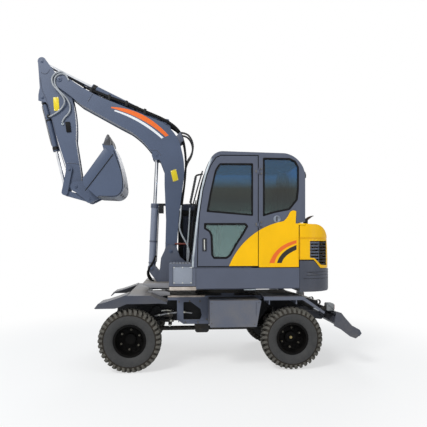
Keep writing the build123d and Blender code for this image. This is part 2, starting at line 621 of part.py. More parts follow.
with BuildPart() as exhaust:
    with BuildSketch(Plane.XY.offset(1990)) as stub:
        with Locations(EXHAUST_XY):
            Circle(EXHAUST_R)
            Circle(EXHAUST_R - 6, mode=Mode.SUBTRACT)
    extrude(stub.sketch, amount=110)
save(exhaust.part, "exhaust")

# ================================================================ cab
# Welded cab shell with one wall thickness, stepped over the engine at the back; windows and door opening cut.
DOOR_OPENING = [
    (36, 1436), (43, 1797), (63, 2137), (111, 2476), (165, 2680), (220, 2817), (288, 2920), (356, 2952),
    (870, 2956), (870, 1436),
]
DOOR_UPPER_WINDOW = [
    (342, 2846), (785, 2851), (800, 2836), (800, 2126), (158, 2178), (206, 2450), (274, 2750), (315, 2818),
]
DOOR_LOWER_WINDOW = [
    (124, 2028), (700, 2030), (735, 1985), (658, 1852), (576, 1729), (493, 1579), (440, 1538), (255, 1538),
    (222, 1593), (213, 1852), (192, 1906), (124, 1947),
]
QUARTER_WINDOW = [
    (935, 2930), (1311, 2930), (1395, 2890), (1440, 2806), (1440, 2488), (1423, 2350), (1311, 2211),
    (1101, 2169), (935, 2120),
]
RIGHT_WINDOW = [
    (300, 2846), (1360, 2846), (1430, 2780), (1440, 2500), (1311, 2240), (900, 2160), (180, 2178), (240, 2450),
]
SCREEN = ((-100, 330), (CAB_Y[0] + 60, CAB_Y[1] - 60), (1600, 2880))
REAR_WINDOW = ((1400, 1600), (CAB_Y[0] + 90, CAB_Y[1] - 90), (2150, 2850))


def cab_form(inset):
    """The cab's outer form, or the space inside it when inset."""
    with BuildPart() as form:
        with BuildSketch(side(CAB_Y[1] - inset)) as profile:
            with BuildLine():
                Polyline((1529, 2682), (1529, 2045), (1430, 2045), (1430, 1800), (780, 1800), (780, 1420), (-40, 1420),
                         (-32, 1553), (16, 2001))
                ThreePointArc((16, 2001), (79, 2450), (220, 2912))
                ThreePointArc((220, 2912), (290, 2985), (397, 3010))
                Line((397, 3010), (1241, 2995))
                ThreePointArc((1241, 2995), (1443, 2888), (1529, 2682))
            make_face()
            if inset:
                offset(amount=-inset, mode=Mode.REPLACE, kind=Kind.INTERSECTION)
        extrude(profile.sketch, amount=CAB_Y[1] - CAB_Y[0] - 2 * inset)
    return form.part


DOOR_HINGE = (878.0, -942.0)  # x and y of the upright hinge line
DOOR_HINGE_Z = (1990.0, 2720.0)


def upright(z_range, radius, mode=Mode.ADD):
    """Add or cut a short cylinder on the door's hinge line."""
    with BuildSketch(Plane.XY.offset(z_range[0])) as disc:
        with Locations(DOOR_HINGE):
            Circle(radius)
    extrude(disc.sketch, amount=z_range[1] - z_range[0], mode=mode)


with BuildPart() as cab_frame:
    add(cab_form(0) - cab_form(WALL))
    slab(DOOR_OPENING, -1000, CAB_Y[0] + WALL, corner=10, mode=Mode.SUBTRACT)
    slab(QUARTER_WINDOW, -1000, CAB_Y[0] + WALL, corner=14, mode=Mode.SUBTRACT)
    slab(RIGHT_WINDOW, CAB_Y[1] - WALL, 50, corner=14, mode=Mode.SUBTRACT)
    block(*SCREEN, mode=Mode.SUBTRACT)
    block(*REAR_WINDOW, mode=Mode.SUBTRACT)
    for z in DOOR_HINGE_Z:
        upright((z - 2, z + 42), 11, mode=Mode.SUBTRACT)
        for z_range in ((z - 22, z - 1), (z + 41, z + 62)):
            upright(z_range, 7)
            block((DOOR_HINGE[0], DOOR_HINGE[0] + 44), (CAB_Y[0] - 7, CAB_Y[0] + 1), z_range)
save(cab_frame.part, "cab_frame")

# Bonded cab panes: windscreen, rear, quarter and right-hand windows.
GLASS_IN = 10.0
GLASS = 6.0
with BuildPart() as cab_glass:
    add(cab_form(GLASS_IN) - cab_form(GLASS_IN + GLASS))
    with BuildPart(mode=Mode.PRIVATE) as panes:
        block(*SCREEN)
        block(*REAR_WINDOW)
        slab(QUARTER_WINDOW, -1000, CAB_Y[0] + WALL, corner=14)
        slab(RIGHT_WINDOW, CAB_Y[1] - WALL, 50, corner=14)
    add(panes.part, mode=Mode.INTERSECT)
save(cab_glass.part, "cab_glass")

# Door: pressed frame as thick as the wall, with two windows, a pull handle and its half of the lower panel.
DOOR_GAP = 5.0
HANDLE = [(100, 1640), (165, 1640), (165, 1820), (100, 1820)]  # side outline of the handle's recess
with BuildPart() as door:
    with BuildSketch(side(CAB_Y[0] + WALL)) as leaf:
        polygon(DOOR_OPENING, 10)
        offset(amount=-DOOR_GAP, mode=Mode.REPLACE)
    extrude(leaf.sketch, amount=WALL)
    for outline in (DOOR_UPPER_WINDOW, DOOR_LOWER_WINDOW):
        slab(outline, -1000, CAB_Y[0] + WALL, corner=14, mode=Mode.SUBTRACT)
    slab(HANDLE, -1000, CAB_Y[0] + 22, corner=14, mode=Mode.SUBTRACT)
    for z in DOOR_HINGE_Z:
        upright((z, z + 40), 7)
        block((DOOR_HINGE[0] - 44, DOOR_HINGE[0]), (CAB_Y[0] - 7, CAB_Y[0] - 1), (z, z + 40))
        block((DOOR_HINGE[0] - 44, DOOR_HINGE[0] - 14), (CAB_Y[0] - 2, CAB_Y[0] + 2), (z, z + 40))
save(door.part, "door")

with BuildPart() as door_glass:
    for outline in (DOOR_UPPER_WINDOW, DOOR_LOWER_WINDOW):
        slab(outline, CAB_Y[0] + GLASS_IN, CAB_Y[0] + GLASS_IN + GLASS, corner=14)
save(door_glass.part, "door_glass")

def swept_panel():
    """Add the outline of the swept side panel: it rises in one arc and ends in a fin behind the cab."""
    with BuildLine() as outline:
        Line((467, 1442), (470, 1446))
        ThreePointArc((470, 1446), (760, 1842), (1221, 2056))
        ThreePointArc((1221, 2056), (1268, 2102), (1303, 2164))
        ThreePointArc((1303, 2164), (1348, 2203), (1399, 2192))
        Polyline((1399, 2192), (1390, 2025), (1434, 2025), (1434, 1424), (880, 1424), (880, 1442), (467, 1442))
    make_face(outline.edges())


# The front part of the panel is fixed to the door and swings with it.
with BuildPart() as door_panel:
    with BuildSketch(side(CAB_Y[0])) as outline:
        swept_panel()
    extrude(outline.sketch, amount=PANEL)
    block((865, 1600), (-1000, -800), (1300, 2300), mode=Mode.SUBTRACT)
save(door_panel.part, "door_panel")
with BuildPart() as side_panel:
    with BuildSketch(side(CAB_Y[0])) as outline:
        swept_panel()
    extrude(outline.sketch, amount=PANEL)
    with BuildSketch(side(CAB_Y[0] - PANEL + 4)) as dish:
        with BuildLine():
            ThreePointArc((1010, 1440), (1160, 1720), (1418, 1826))
            Polyline((1418, 1826), (1418, 1440), (1010, 1440))
        make_face()
        fillet(vertices(), 8)
    extrude(dish.sketch, amount=20, mode=Mode.SUBTRACT)
    block((300, 876), (-1000, -800), (1300, 2300), mode=Mode.SUBTRACT)
    block((890, 1434), (CAB_Y[0], CAB_Y[0] + 20), (1424, 1798))
save(side_panel.part, "side_panel")

# Driver's seat on its box, with backrest, head restraint and arm rests.
SEAT_Y = (CAB_Y[0] + CAB_Y[1]) / 2
SHELF_TOP = 1800 + WALL
with BuildPart() as seat:
    block((860, 1150), (SEAT_Y - 190, SEAT_Y + 190), (SHELF_TOP, 1925))
    slab([(700, 1925), (680, 1985), (710, 2025), (1180, 2015), (1180, 1925)], SEAT_Y - 240, SEAT_Y + 240, corner=18)
    slab([(1120, 2010), (1225, 2010), (1310, 2600), (1275, 2630), (1220, 2610)], SEAT_Y - 230, SEAT_Y + 230,
         corner=14)
    slab([(1230, 2600), (1300, 2600), (1322, 2790), (1255, 2790)], SEAT_Y - 130, SEAT_Y + 130, corner=16)
save(seat.part, "seat")

# Two lever consoles beside the seat, and the steering column on the cab floor.
with BuildPart() as controls:
    for direction in (-1, 1):
        y_low, y_high = sorted((SEAT_Y + direction * 260, SEAT_Y + direction * 370))
        slab([(745, SHELF_TOP), (690, 2060), (720, 2110), (1100, 2080), (1100, SHELF_TOP)], y_low, y_high, corner=20)
        with BuildSketch(Plane.XY.offset(2090)) as lever:
            with Locations((760, SEAT_Y + direction * 315)):
                Circle(16)
        extrude(lever.sketch, amount=150)
    slab([(250, 1420 + WALL), (360, 1420 + WALL), (430, 2080), (380, 2110)], SEAT_Y - 40, SEAT_Y + 40)
    wheel_plane = Plane(origin=(415, SEAT_Y, 2120), x_dir=(0, 1, 0), z_dir=(0.42, 0, 0.91))
    with BuildSketch(wheel_plane) as rim_outline:
        Circle(185)
        Circle(160, mode=Mode.SUBTRACT)
        Rectangle(330, 30)
        Rectangle(30, 330)
    extrude(rim_outline.sketch, amount=24)
save(controls.part, "controls")

# Right-hand housings: the tank and tool box beside the boom, and the pump cover behind it.
with BuildPart() as tank_cover:
    block((-230, 100), (340, 940), (FLOOR_Z, 2290))
    block((100, 880), (40, 940), (FLOOR_Z, 2290))
    fillet(edges().filter_by(Axis.Z).group_by(Axis.Y)[-1], 60)
    block((-190, 840), (380, 880), (2290, 2400))
    fillet(edges().group_by(Axis.Z)[-1], 30)
    block((-150, 60), (330, 352), (1500, 2200), mode=Mode.SUBTRACT)
save(tank_cover.part, "tank_cover")
with BuildPart() as pump_cover:
    block((884, 1429), (40, 940), (FLOOR_Z, 2030))
    fillet(edges().filter_by(Axis.X).sort_by(Axis.Z)[-2:].sort_by(Axis.Y)[-1], 40)
    block((950, 1440), (30, 430), (FLOOR_Z - 1, 1770), mode=Mode.SUBTRACT)
save(pump_cover.part, "pump_cover")

# Grab rail of bent tube in front of the door pillar.
with BuildPart() as grab_rail:
    with BuildLine(side(-900)) as path:
        Polyline((30, 2270), (-62, 2290), (18, 2680), (110, 2700))
        fillet(path.vertices().sort_by(Axis.Z)[1:3], 30)
    with BuildSketch(Plane(origin=path.line @ 0, z_dir=path.line % 0)):
        Circle(12)
    sweep()
save(grab_rail.part, "grab_rail")

# Work lamp that hangs from a bracket on the tank cover, looking forward.
with BuildPart() as work_lamp:
    slab([(-600, 2400), (-600, 2440), (-400, 2440), (-100, 2425), (-100, 2401), (-400, 2401)], 800, 850)
    block((-560, -480), (765, 885), (2270, 2400))
    with BuildSketch(Plane.YZ.offset(-560)) as lens:
        with Locations((825, 2335)):
            Circle(50)
    extrude(lens.sketch, amount=-18)
save(work_lamp.part, "work_lamp")

# ================================================================ boom, arm and bucket
PLATE_T = 16.0  # thickness of the side plates of boom and arm
PLATE_LIP = 10.0  # how far they stand past the top and bottom plates


def box_section(outline, half_width):
    """Extrude a side outline as a welded box: two side plates, with the core between them set in from their edges."""
    with BuildSketch(Plane.XZ) as core:
        add(outline)
        offset(amount=-PLATE_LIP, mode=Mode.REPLACE)
    extrude(outline, amount=half_width, both=True)
    with BuildSketch(Plane.XZ) as lip:
        add(outline)
        add(core.sketch, mode=Mode.SUBTRACT)
    extrude(lip.sketch, amount=half_width - PLATE_T, both=True, mode=Mode.SUBTRACT)


# Welded one-piece boom: foot, knee with the cylinder ears under it, and a fork for the arm.
with BuildPart() as boom:
    with BuildSketch(Plane.XZ) as profile:
        with BuildLine():
            Polyline((-252, 1640), (-425, 1640), (-412, 2107), (-435, 2641), (-435, 2839), (-500, 3010), (-655, 3171))
            ThreePointArc((-655, 3171), (-790, 3325), (-956, 3455))
            Polyline((-956, 3455), (-1105, 3530), (-1700, 3850), (-1876, 3993), (-2060, 4120), (-1980, 4318))
            ThreePointArc((-1980, 4318), (-1641, 4085), (-1199, 3886))
            Line((-1199, 3886), (-503, 3616))
            ThreePointArc((-503, 3616), (-282, 3430), (-175, 3180))
            ThreePointArc((-175, 3180), (-137, 2950), (-146, 2720))
            Polyline((-146, 2720), (-215, 2184), (-252, 1640))
        make_face()
        with Locations(BOOM_FOOT):
            Circle(88)
        with Locations(ARM_PIN):
            Circle(105)
        with Locations(BOOM_CYL_EYE):
            Circle(72)
    box_section(profile.sketch, BOOM_HALF_W)
    cross_disc(BOOM_FOOT, 88, 165)
    cross_disc(BOOM_FOOT, 35 + FIT, 200, mode=Mode.SUBTRACT)
    cross_disc(ARM_PIN, 300, EAR_IN, mode=Mode.SUBTRACT)
    cross_disc(BOOM_CYL_EYE, 130, 62, mode=Mode.SUBTRACT)
    cross_disc(ARM_PIN, 34, BOOM_HALF_W)
    slab([(-430, 3543), (-917, 3778), (-870, 3890), (-380, 3665), (-350, 3560)], -60, 60, mode=Mode.SUBTRACT)
    cross_disc(ARM_CYL_BASE, 64, 60, mode=Mode.SUBTRACT)
    for y_low in (-90, 60):
        slab([(-560, 3560), (-470, 3640), (-430, 3668), (-370, 3660), (-350, 3590), (-340, 3430)], y_low, y_low + 30,
             corner=10)
    cross_disc(ARM_CYL_BASE, 27, 96)
save(boom.part, "boom")

# Tapered box arm with the cylinder ears at its top and front, and a narrow boss at its foot.
with BuildPart() as arm:
    with BuildSketch(Plane.XZ) as profile:
        with BuildLine():
            Polyline((-2219, 4520), (-2335, 4470), (-2321, 4273), (-2310, 4100), (-2330, 3990), (-2330, 3905),
                     (-2220, 3880), (-2195, 3850))
            ThreePointArc((-2195, 3850), (-2068, 3390), (-1925, 2930))
            Polyline((-1925, 2930), (-1925, 2820), (-1845, 2600), (-1690, 2600), (-1697, 2780), (-1720, 2933),
                     (-1778, 3309))
            ThreePointArc((-1778, 3309), (-1800, 3790), (-1910, 4190))
            Polyline((-1910, 4190), (-2058, 4296), (-2219, 4520))
        make_face()
        with Locations(ARM_PIN):
            Circle(102)
        with Locations(ARM_CYL_EYE):
            Circle(62)
        with Locations(BUCKET_PIN):
            Circle(78)
        with Locations(SIDE_LINK_PIN):
            Circle(60)
    box_section(profile.sketch, ARM_HALF_W)
    cross_disc(ARM_PIN, 34 + FIT, 100, mode=Mode.SUBTRACT)
    cross_disc(ARM_CYL_EYE, 262, 52, mode=Mode.SUBTRACT)
    cross_disc(BUCKET_CYL_BASE, 128, 52, mode=Mode.SUBTRACT)
    cross_disc(BUCKET_CYL_BASE, 24, ARM_HALF_W + 8)
    cross_disc(SIDE_LINK_PIN, 24, 122)
    cross_disc(BUCKET_PIN, 26, 126)
save(arm.part, "arm")

# Two flat side links on the arm, tied by nothing but their pin bosses.
with BuildPart() as side_links:
    for y_low in (-116, 92):
        with BuildSketch(side(y_low + 24)) as plate:
            polygon([(-1912, 2862), (-1822, 2876), (-1890, 2516), (-1980, 2530)])
            with Locations(SIDE_LINK_PIN, LINK_PIN):
                Circle(46)
            with Locations(SIDE_LINK_PIN):
                Circle(24 + FIT, mode=Mode.SUBTRACT)
        extrude(plate.sketch, amount=24)
save(side_links.part, "side_links")

# Forked bucket link: one eye at the bucket, two cheeks that straddle the rod eye.
with BuildPart() as bucket_link:
    with BuildSketch(Plane.XZ) as plate:
        with BuildLine():
            Polyline((-1935, 2556), (-1935, 2477), (-1566, 2372), (-1566, 2462), close=True)
        make_face()
        with Locations(LINK_PIN):
            Circle(46)
        with Locations(BUCKET_LINK_PIN):
            Circle(54)
    extrude(plate.sketch, amount=86, both=True)
    cross_disc(LINK_PIN, 190, 50, mode=Mode.SUBTRACT)
    cross_disc(BUCKET_LINK_PIN, 26 + FIT, 100, mode=Mode.SUBTRACT)
save(bucket_link.part, "bucket_link")

# Digging bucket: rolled shell, side plates, ears, lip and teeth.
with BuildPart() as bucket:
    with BuildSketch(Plane.XZ) as profile:
        with BuildLine():
            ThreePointArc((-1180, 3190), (-1059, 2811), (-1030, 2600))
            ThreePointArc((-1030, 2600), (-1078, 2475), (-1180, 2431))
            Polyline((-1180, 2431), (-1425, 2440), (-1600, 2600), (-1628, 2701), (-1323, 3134), (-1290, 3215),
                     (-1180, 3190))
        make_face()
    extrude(profile.sketch, amount=BUCKET_HALF_W, both=True)
    with BuildSketch(Plane.XZ) as inside:
        add(profile.sketch)
        offset(amount=-20, mode=Mode.REPLACE, kind=Kind.INTERSECTION)
        polygon([(-1700, 2720), (-1340, 3300), (-1200, 3260), (-1190, 3150), (-1500, 2800), (-1575, 2640)])
    extrude(inside.sketch, amount=BUCKET_HALF_W - 20, both=True, mode=Mode.SUBTRACT)
    for y_low in (-122, 92):
        with BuildSketch(side(y_low + 30)) as ear:
            polygon([(-1820, 2560), (-1620, 2400), (-1510, 2380), (-1400, 2438), (-1560, 2650), (-1650, 2700),
                     (-1790, 2680)])
            with Locations(BUCKET_PIN):
                Circle(78)
            with Locations(BUCKET_LINK_PIN):
                Circle(66)
            with Locations(BUCKET_PIN):
                Circle(26 + FIT, mode=Mode.SUBTRACT)
        extrude(ear.sketch, amount=30)
    cross_disc(BUCKET_LINK_PIN, 26, 122)
    slab([(-1323, 3134), (-1345, 3215), (-1290, 3225), (-1180, 3190), (-1200, 3150)], -BUCKET_HALF_W, BUCKET_HALF_W)
    for tooth in range(5):
        y_mid = (tooth - 2) * 145
        slab([(-1335, 3200), (-1275, 3350), (-1245, 3345), (-1215, 3190)], y_mid - 32, y_mid + 32)
save(bucket.part, "bucket")

# ================================================================ hydraulic cylinders
CYLINDERS = [  # name, base pin, rod eye, barrel radius, barrel length, rod radius, eye width, pin radius
    ("boom", BOOM_CYL_BASE, BOOM_CYL_EYE, 55, 1000, 27, 100, 27),
    ("arm", ARM_CYL_BASE, ARM_CYL_EYE, 52, 1250, 27, 90, 27),
    ("bucket", BUCKET_CYL_BASE, LINK_PIN, 43, 820, 24, 88, 24),
]
for name, base, eye, radius, length, rod_radius, eye_width, pin_radius in CYLINDERS:
    with BuildPart() as barrel:
        cylinder_barrel(base, eye, radius, length, rod_radius, eye_width, pin_radius)
    save(barrel.part, f"{name}_barrel")
    with BuildPart() as rod:
        cylinder_rod(base, eye, length - 190, rod_radius, radius, eye_width, pin_radius)
    save(rod.part, f"{name}_rod")
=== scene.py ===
"""Looks of a compact wheeled excavator, built around its CAD frame.

Metres; outlines and routes are in millimetres. +Z is up, -X is the front of the machine and -Y its left side,
where the cab door is.
"""

import math

import bmesh
import bpy
from mathutils import Matrix, Vector


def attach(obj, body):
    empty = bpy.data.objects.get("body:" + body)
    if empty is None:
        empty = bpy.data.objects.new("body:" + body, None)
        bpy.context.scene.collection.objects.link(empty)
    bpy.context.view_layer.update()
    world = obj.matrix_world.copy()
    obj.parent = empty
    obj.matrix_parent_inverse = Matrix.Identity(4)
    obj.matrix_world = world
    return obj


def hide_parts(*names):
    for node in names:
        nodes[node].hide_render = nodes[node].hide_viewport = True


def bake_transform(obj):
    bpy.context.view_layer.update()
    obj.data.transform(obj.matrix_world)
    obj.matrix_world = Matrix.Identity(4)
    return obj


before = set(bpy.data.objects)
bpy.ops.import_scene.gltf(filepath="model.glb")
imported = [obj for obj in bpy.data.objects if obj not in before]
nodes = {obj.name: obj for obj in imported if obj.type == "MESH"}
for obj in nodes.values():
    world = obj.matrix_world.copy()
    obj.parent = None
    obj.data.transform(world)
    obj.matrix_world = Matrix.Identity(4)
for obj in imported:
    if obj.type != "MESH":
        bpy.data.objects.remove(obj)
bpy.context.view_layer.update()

# ======================== camera
# Stands 7 m from the left side at about the height of a person's eyes, level, with a slight turn to the rear.
# Its lens is shifted upwards instead of tilted, so that upright posts stay upright.
EYE = (-0.211, -7.053, 1.762)
TURN = -0.076  # radians about the vertical
FOCAL = 37.94  # millimetres, on a 36 mm wide sensor
camera_data = bpy.data.cameras.new("camera")
camera_data.lens = FOCAL
camera_data.sensor_width = 36.0
camera_data.shift_y = 0.068
camera = bpy.data.objects.new("camera", camera_data)
camera.location = EYE
camera.rotation_euler = (math.pi / 2, 0.0, TURN)
bpy.context.scene.collection.objects.link(camera)
bpy.context.scene.camera = camera
bpy.context.scene.view_settings.view_transform = "Standard"


# ======================== studio
# Pale paper floor that fades to white away from the machine, under a broad lamp on the left, a weaker one
# on the right and one behind. The sky is even, a little blue as light and plain white where it is seen.
WHITE = (1, 1, 1, 1)
LAMP_AIM = Vector((0, 0, 1.5))
LAMPS = [  # name, place, width, power in watts
    ("key_lamp", (-7.5, -10.5, 12.5), 5.0, 1650.0),
    ("fill_lamp", (8.0, -8.0, 3.5), 5.0, 110.0),
    ("rim_lamp", (3.0, 10.0, 8.0), 5.0, 330.0),
]
MULTIPLY = {"operation": "MULTIPLY"}
MAXIMUM = {"operation": "MAXIMUM"}


def linear(colour):
    """Linear RGBA of an sRGB hex colour."""
    parts = [int(colour[i:i + 2], 16) / 255 for i in (1, 3, 5)]
    return tuple(c / 12.92 if c <= 0.04045 else ((c + 0.055) / 1.055) ** 2.4 for c in parts) + (1.0,)


def add_node(tree, kind, settings=None, **inputs):
    """Add a shader node. Inputs go by name (_ for a space) or number; a node gives its first output."""
    node = tree.nodes.new("ShaderNode" + kind)
    for name, value in (settings or {}).items():
        setattr(node, name, value)
    for name, value in inputs.items():
        socket = node.inputs[int(name[1:]) if name[1:].isdigit() else name.replace("_", " ")]
        if isinstance(value, bpy.types.Node):
            value = value.outputs[0]
        if isinstance(value, bpy.types.NodeSocket):
            tree.links.new(value, socket)
        else:
            socket.default_value = value
    return node


def new_material(name):
    """An empty node material and its node tree."""
    material = bpy.data.materials.new(name)
    material.use_nodes = True
    material.node_tree.nodes.clear()
    return material, material.node_tree


def object_mode():
    """Leave edit mode and keep the selection."""
    if bpy.context.object and bpy.context.object.mode != "OBJECT":
        bpy.ops.object.mode_set(mode="OBJECT")


def lone(kind, **settings):
    """Add a primitive with nothing else selected, and return it."""
    object_mode()
    bpy.ops.object.select_all(action="DESELECT")
    getattr(bpy.ops.mesh, f"primitive_{kind}_add")(**settings)
    return bpy.context.object


paper, tree = new_material("floor_paper")
place = add_node(tree, "TexCoord").outputs["Object"]
away = add_node(tree, "VectorMath", {"operation": "LENGTH"}, i0=place).outputs["Value"]
fade = add_node(tree, "MapRange", {"interpolation_type": "SMOOTHSTEP"}, Value=away,
                From_Min=2.6, From_Max=5.5, To_Min=0.6)
ray = add_node(tree, "LightPath").outputs
shown = add_node(tree, "Math", MULTIPLY, i0=fade, i1=ray["Is Camera Ray"])
matt = add_node(tree, "BsdfDiffuse", Color=linear("#f4f4f2"))
white = add_node(tree, "Emission", Color=WHITE, Strength=1.0)
both = add_node(tree, "MixShader", i0=shown, i1=matt, i2=white)
add_node(tree, "OutputMaterial", Surface=both)
floor = lone("plane", size=40.0, location=(0, 0, -0.002))
floor.name = "floor"
floor.data.materials.append(paper)

world = bpy.data.worlds.new("sky")
bpy.context.scene.world = world
world.use_nodes = True
tree = world.node_tree
tree.nodes.clear()
ray = add_node(tree, "LightPath").outputs
seen = add_node(tree, "Math", MAXIMUM, i0=ray["Is Camera Ray"], i1=ray["Is Transmission Ray"])
seen = add_node(tree, "Math", MAXIMUM, i0=seen, i1=ray["Is Glossy Ray"])
light = add_node(tree, "Background", Color=linear("#e4ebf5"), Strength=0.56)
plain = add_node(tree, "Background", Color=WHITE, Strength=1.0)
both = add_node(tree, "MixShader", i0=seen, i1=light, i2=plain)
add_node(tree, "OutputWorld", Surface=both)

for name, spot, width, power in LAMPS:
    lamp_data = bpy.data.lights.new(name, "AREA")
    lamp_data.size = width
    lamp_data.energy = power
    lamp = bpy.data.objects.new(name, lamp_data)
    lamp.location = spot
    lamp.rotation_mode = "QUATERNION"
    lamp.rotation_quaternion = (Vector(spot) - LAMP_AIM).to_track_quat("Z", "Y")
    bpy.context.scene.collection.objects.link(lamp)


# ======================== painted steel
# Two-pack polyurethane paint sprayed on welded plate: a faint orange peel, an even gloss, and road dust that
# settles on upward faces and low down.
ADD = {"operation": "ADD"}
COLOURS = {"data_type": "RGBA"}


def surface(material, colour, roughness, height, strength, depth, **more):
    """Close a material: a surface with fine relief, joined to the output."""
    tree = material.node_tree
    bump = add_node(tree, "Bump", Height=height, Strength=strength, Distance=depth)
    shader = add_node(tree, "BsdfPrincipled", Base_Color=colour, Roughness=roughness, Normal=bump, **more)
    add_node(tree, "OutputMaterial", Surface=shader)
    return material


def faded(colour, part):
    """A colour with part of its light."""
    return tuple(c * part for c in linear(colour)[:3]) + (1.0,)


def sprayed_paint(name, colour, gloss=0.33, dust=0.35, coat=0.25, shine=0.4):
    """Sprayed paint of one colour. Gloss is its roughness; dust is how much road dust lies on it."""
    material, tree = new_material(name)
    place = add_node(tree, "TexCoord").outputs["Object"]
    cloud = add_node(tree, "TexNoise", Vector=place, Scale=2.2, Detail=6.0, Roughness=0.6)
    speck = add_node(tree, "TexNoise", Vector=place, Scale=55.0, Detail=4.0, Roughness=0.7)
    peel = add_node(tree, "TexNoise", Vector=place, Scale=420.0, Detail=2.0)
    level = add_node(tree, "SeparateXYZ", Vector=add_node(tree, "NewGeometry").outputs["Normal"]).outputs["Z"]
    height = add_node(tree, "SeparateXYZ", Vector=place).outputs["Z"]
    lying = add_node(tree, "MapRange", Value=level, From_Min=0.35, From_Max=1.0, To_Max=0.55)
    low = add_node(tree, "MapRange", Value=height, From_Min=1.25, From_Max=0.2, To_Max=0.6)
    settled = add_node(tree, "Math", ADD, i0=lying, i1=low)
    uneven = add_node(tree, "MapRange", Value=cloud, From_Min=0.35, From_Max=0.7)
    grain = add_node(tree, "MapRange", Value=speck, From_Min=0.3, From_Max=0.75, To_Min=0.5, To_Max=1.2)
    layer = add_node(tree, "Math", MULTIPLY, i0=settled, i1=uneven)
    layer = add_node(tree, "Math", MULTIPLY, i0=layer, i1=grain)
    layer = add_node(tree, "Math", {**MULTIPLY, "use_clamp": True}, i0=layer, i1=dust)
    shade = add_node(tree, "MapRange", Value=cloud, From_Min=0.3, From_Max=0.75)
    body = add_node(tree, "Mix", COLOURS, i0=shade, i6=linear(colour), i7=faded(colour, 0.86)).outputs[2]
    dirty = add_node(tree, "Mix", COLOURS, i0=layer, i6=body, i7=linear("#9c917f")).outputs[2]
    rough = add_node(tree, "MapRange", Value=layer, To_Min=gloss, To_Max=0.85)
    return surface(material, dirty, rough, peel, 0.06, 0.002, IOR=1.5, Specular_IOR_Level=shine,
                   Coat_Weight=coat, Coat_Roughness=0.12)


def split_paint(name, outside, inside, axis, low, high, dust):
    """Two colours on one weldment: outside where the distance along an axis passes low to high. On some
    parts the inside colour is painted shade.
    """
    material, tree = new_material(name)
    place = add_node(tree, "TexCoord").outputs["Object"]
    along = add_node(tree, "SeparateXYZ", Vector=place).outputs[axis]
    distance = add_node(tree, "Math", {"operation": "ABSOLUTE"}, i0=along)
    mask = add_node(tree, "MapRange", Value=distance, From_Min=low, From_Max=high)
    colour = add_node(tree, "Mix", COLOURS, i0=mask, i6=linear(inside), i7=linear(outside)).outputs[2]
    cloud = add_node(tree, "TexNoise", Vector=place, Scale=9.0, Detail=7.0, Roughness=0.65)
    level = add_node(tree, "SeparateXYZ", Vector=add_node(tree, "NewGeometry").outputs["Normal"]).outputs["Z"]
    lying = add_node(tree, "MapRange", Value=level, From_Min=0.2, From_Max=0.9, To_Max=dust)
    patchy = add_node(tree, "Math", MULTIPLY, i0=lying, i1=cloud)
    dirty = add_node(tree, "Mix", COLOURS, i0=patchy, i6=colour, i7=linear("#a59b8b")).outputs[2]
    rough = add_node(tree, "MapRange", Value=cloud, To_Min=0.35, To_Max=0.7)
    return surface(material, dirty, rough, cloud, 0.1, 0.002, IOR=1.5, Specular_IOR_Level=0.25)


def paint(material, *names):
    """Give CAD nodes their finish; some finishes carry painted light or shade."""
    for name in names:
        mesh = nodes[name].data
        mesh.materials.clear()
        mesh.materials.append(material)


slate = sprayed_paint("slate_paint", "#505666", coat=0.15)
yellow = sprayed_paint("yellow_paint", "#fcc000", gloss=0.35, dust=0.06, coat=0.05, shine=0.2)
black_paint = sprayed_paint("black_paint", "#131416", gloss=0.45, dust=0.5, coat=0.0, shine=0.25)
# A bluer copy of the slate paint for the digging gear, its pin caps and side cutters: painted sky light.
sky_tinted_slate = sprayed_paint("slate_boom_paint_painted_sky_light", "#48546b", gloss=0.42, dust=0.3, coat=0.08)
# A lighter copy of the slate paint for the boom cylinder's barrel: painted highlight.
highlit_barrel_paint = sprayed_paint("highlit_barrel_paint", "#7b8293", gloss=0.3, dust=0.4, coat=0.3)
# A darker copy of the slate paint for the counterweight, front guards, blade and door cup: painted shade,
# under dust.
shaded_slate = sprayed_paint("slate_paint_painted_shade", "#3d414d", gloss=0.4, dust=0.8, coat=0.1)
worn_black = sprayed_paint("worn_black_paint", "#4a4a4c", gloss=0.5, dust=1.6, coat=0.0)
dusty_slate = sprayed_paint("dusty_slate_paint", "#565c6b", gloss=0.4, dust=1.0, coat=0.1)
paint(sky_tinted_slate, "boom", "arm", "bucket", "side_links", "bucket_link", "arm_barrel", "bucket_barrel")
paint(highlit_barrel_paint, "boom_barrel")
paint(shaded_slate, "counterweight", "front_fenders", "dozer_blade")
paint(worn_black, "upper_frame")
paint(slate, "boom_bracket", "skirts", "cab_frame", "door")
paint(dusty_slate, "side_boxes", "rear_fenders", "front_steps")
paint(black_paint, "tie_down_eyes", "blade_barrels", "grab_rail")
paint(yellow, "side_panel", "door_panel", "hood", "pump_cover")
# Inboard of its side plates the carrier is near-black, painted shade on the box under the deck; the plates
# and gussets at its sides are slate and lie under dust. The bulkhead is black with a yellow strip on top, and
# the grilles are slate with a black rear end.
paint(split_paint("frame_paint_and_painted_shade", "#626878", "#17181b", "Y", 0.452, 0.458, 1.4), "chassis_frame")
paint(split_paint("bulkhead_paint", "#f7c300", "#101113", "Z", 2.003, 2.005, 0.1), "engine_cowl")
# The tank cover is slate outboard and near-black on its face towards the boom: painted shade.
paint(split_paint("tank_cover_paint_and_painted_shade", "#5c6273", "#0e0f11", "Y", 0.345, 0.355, 0.6), "tank_cover")
paint(split_paint("grille_paint", "#141518", "#565c69", "X", 1.742, 1.744, 0.2), "grilles")


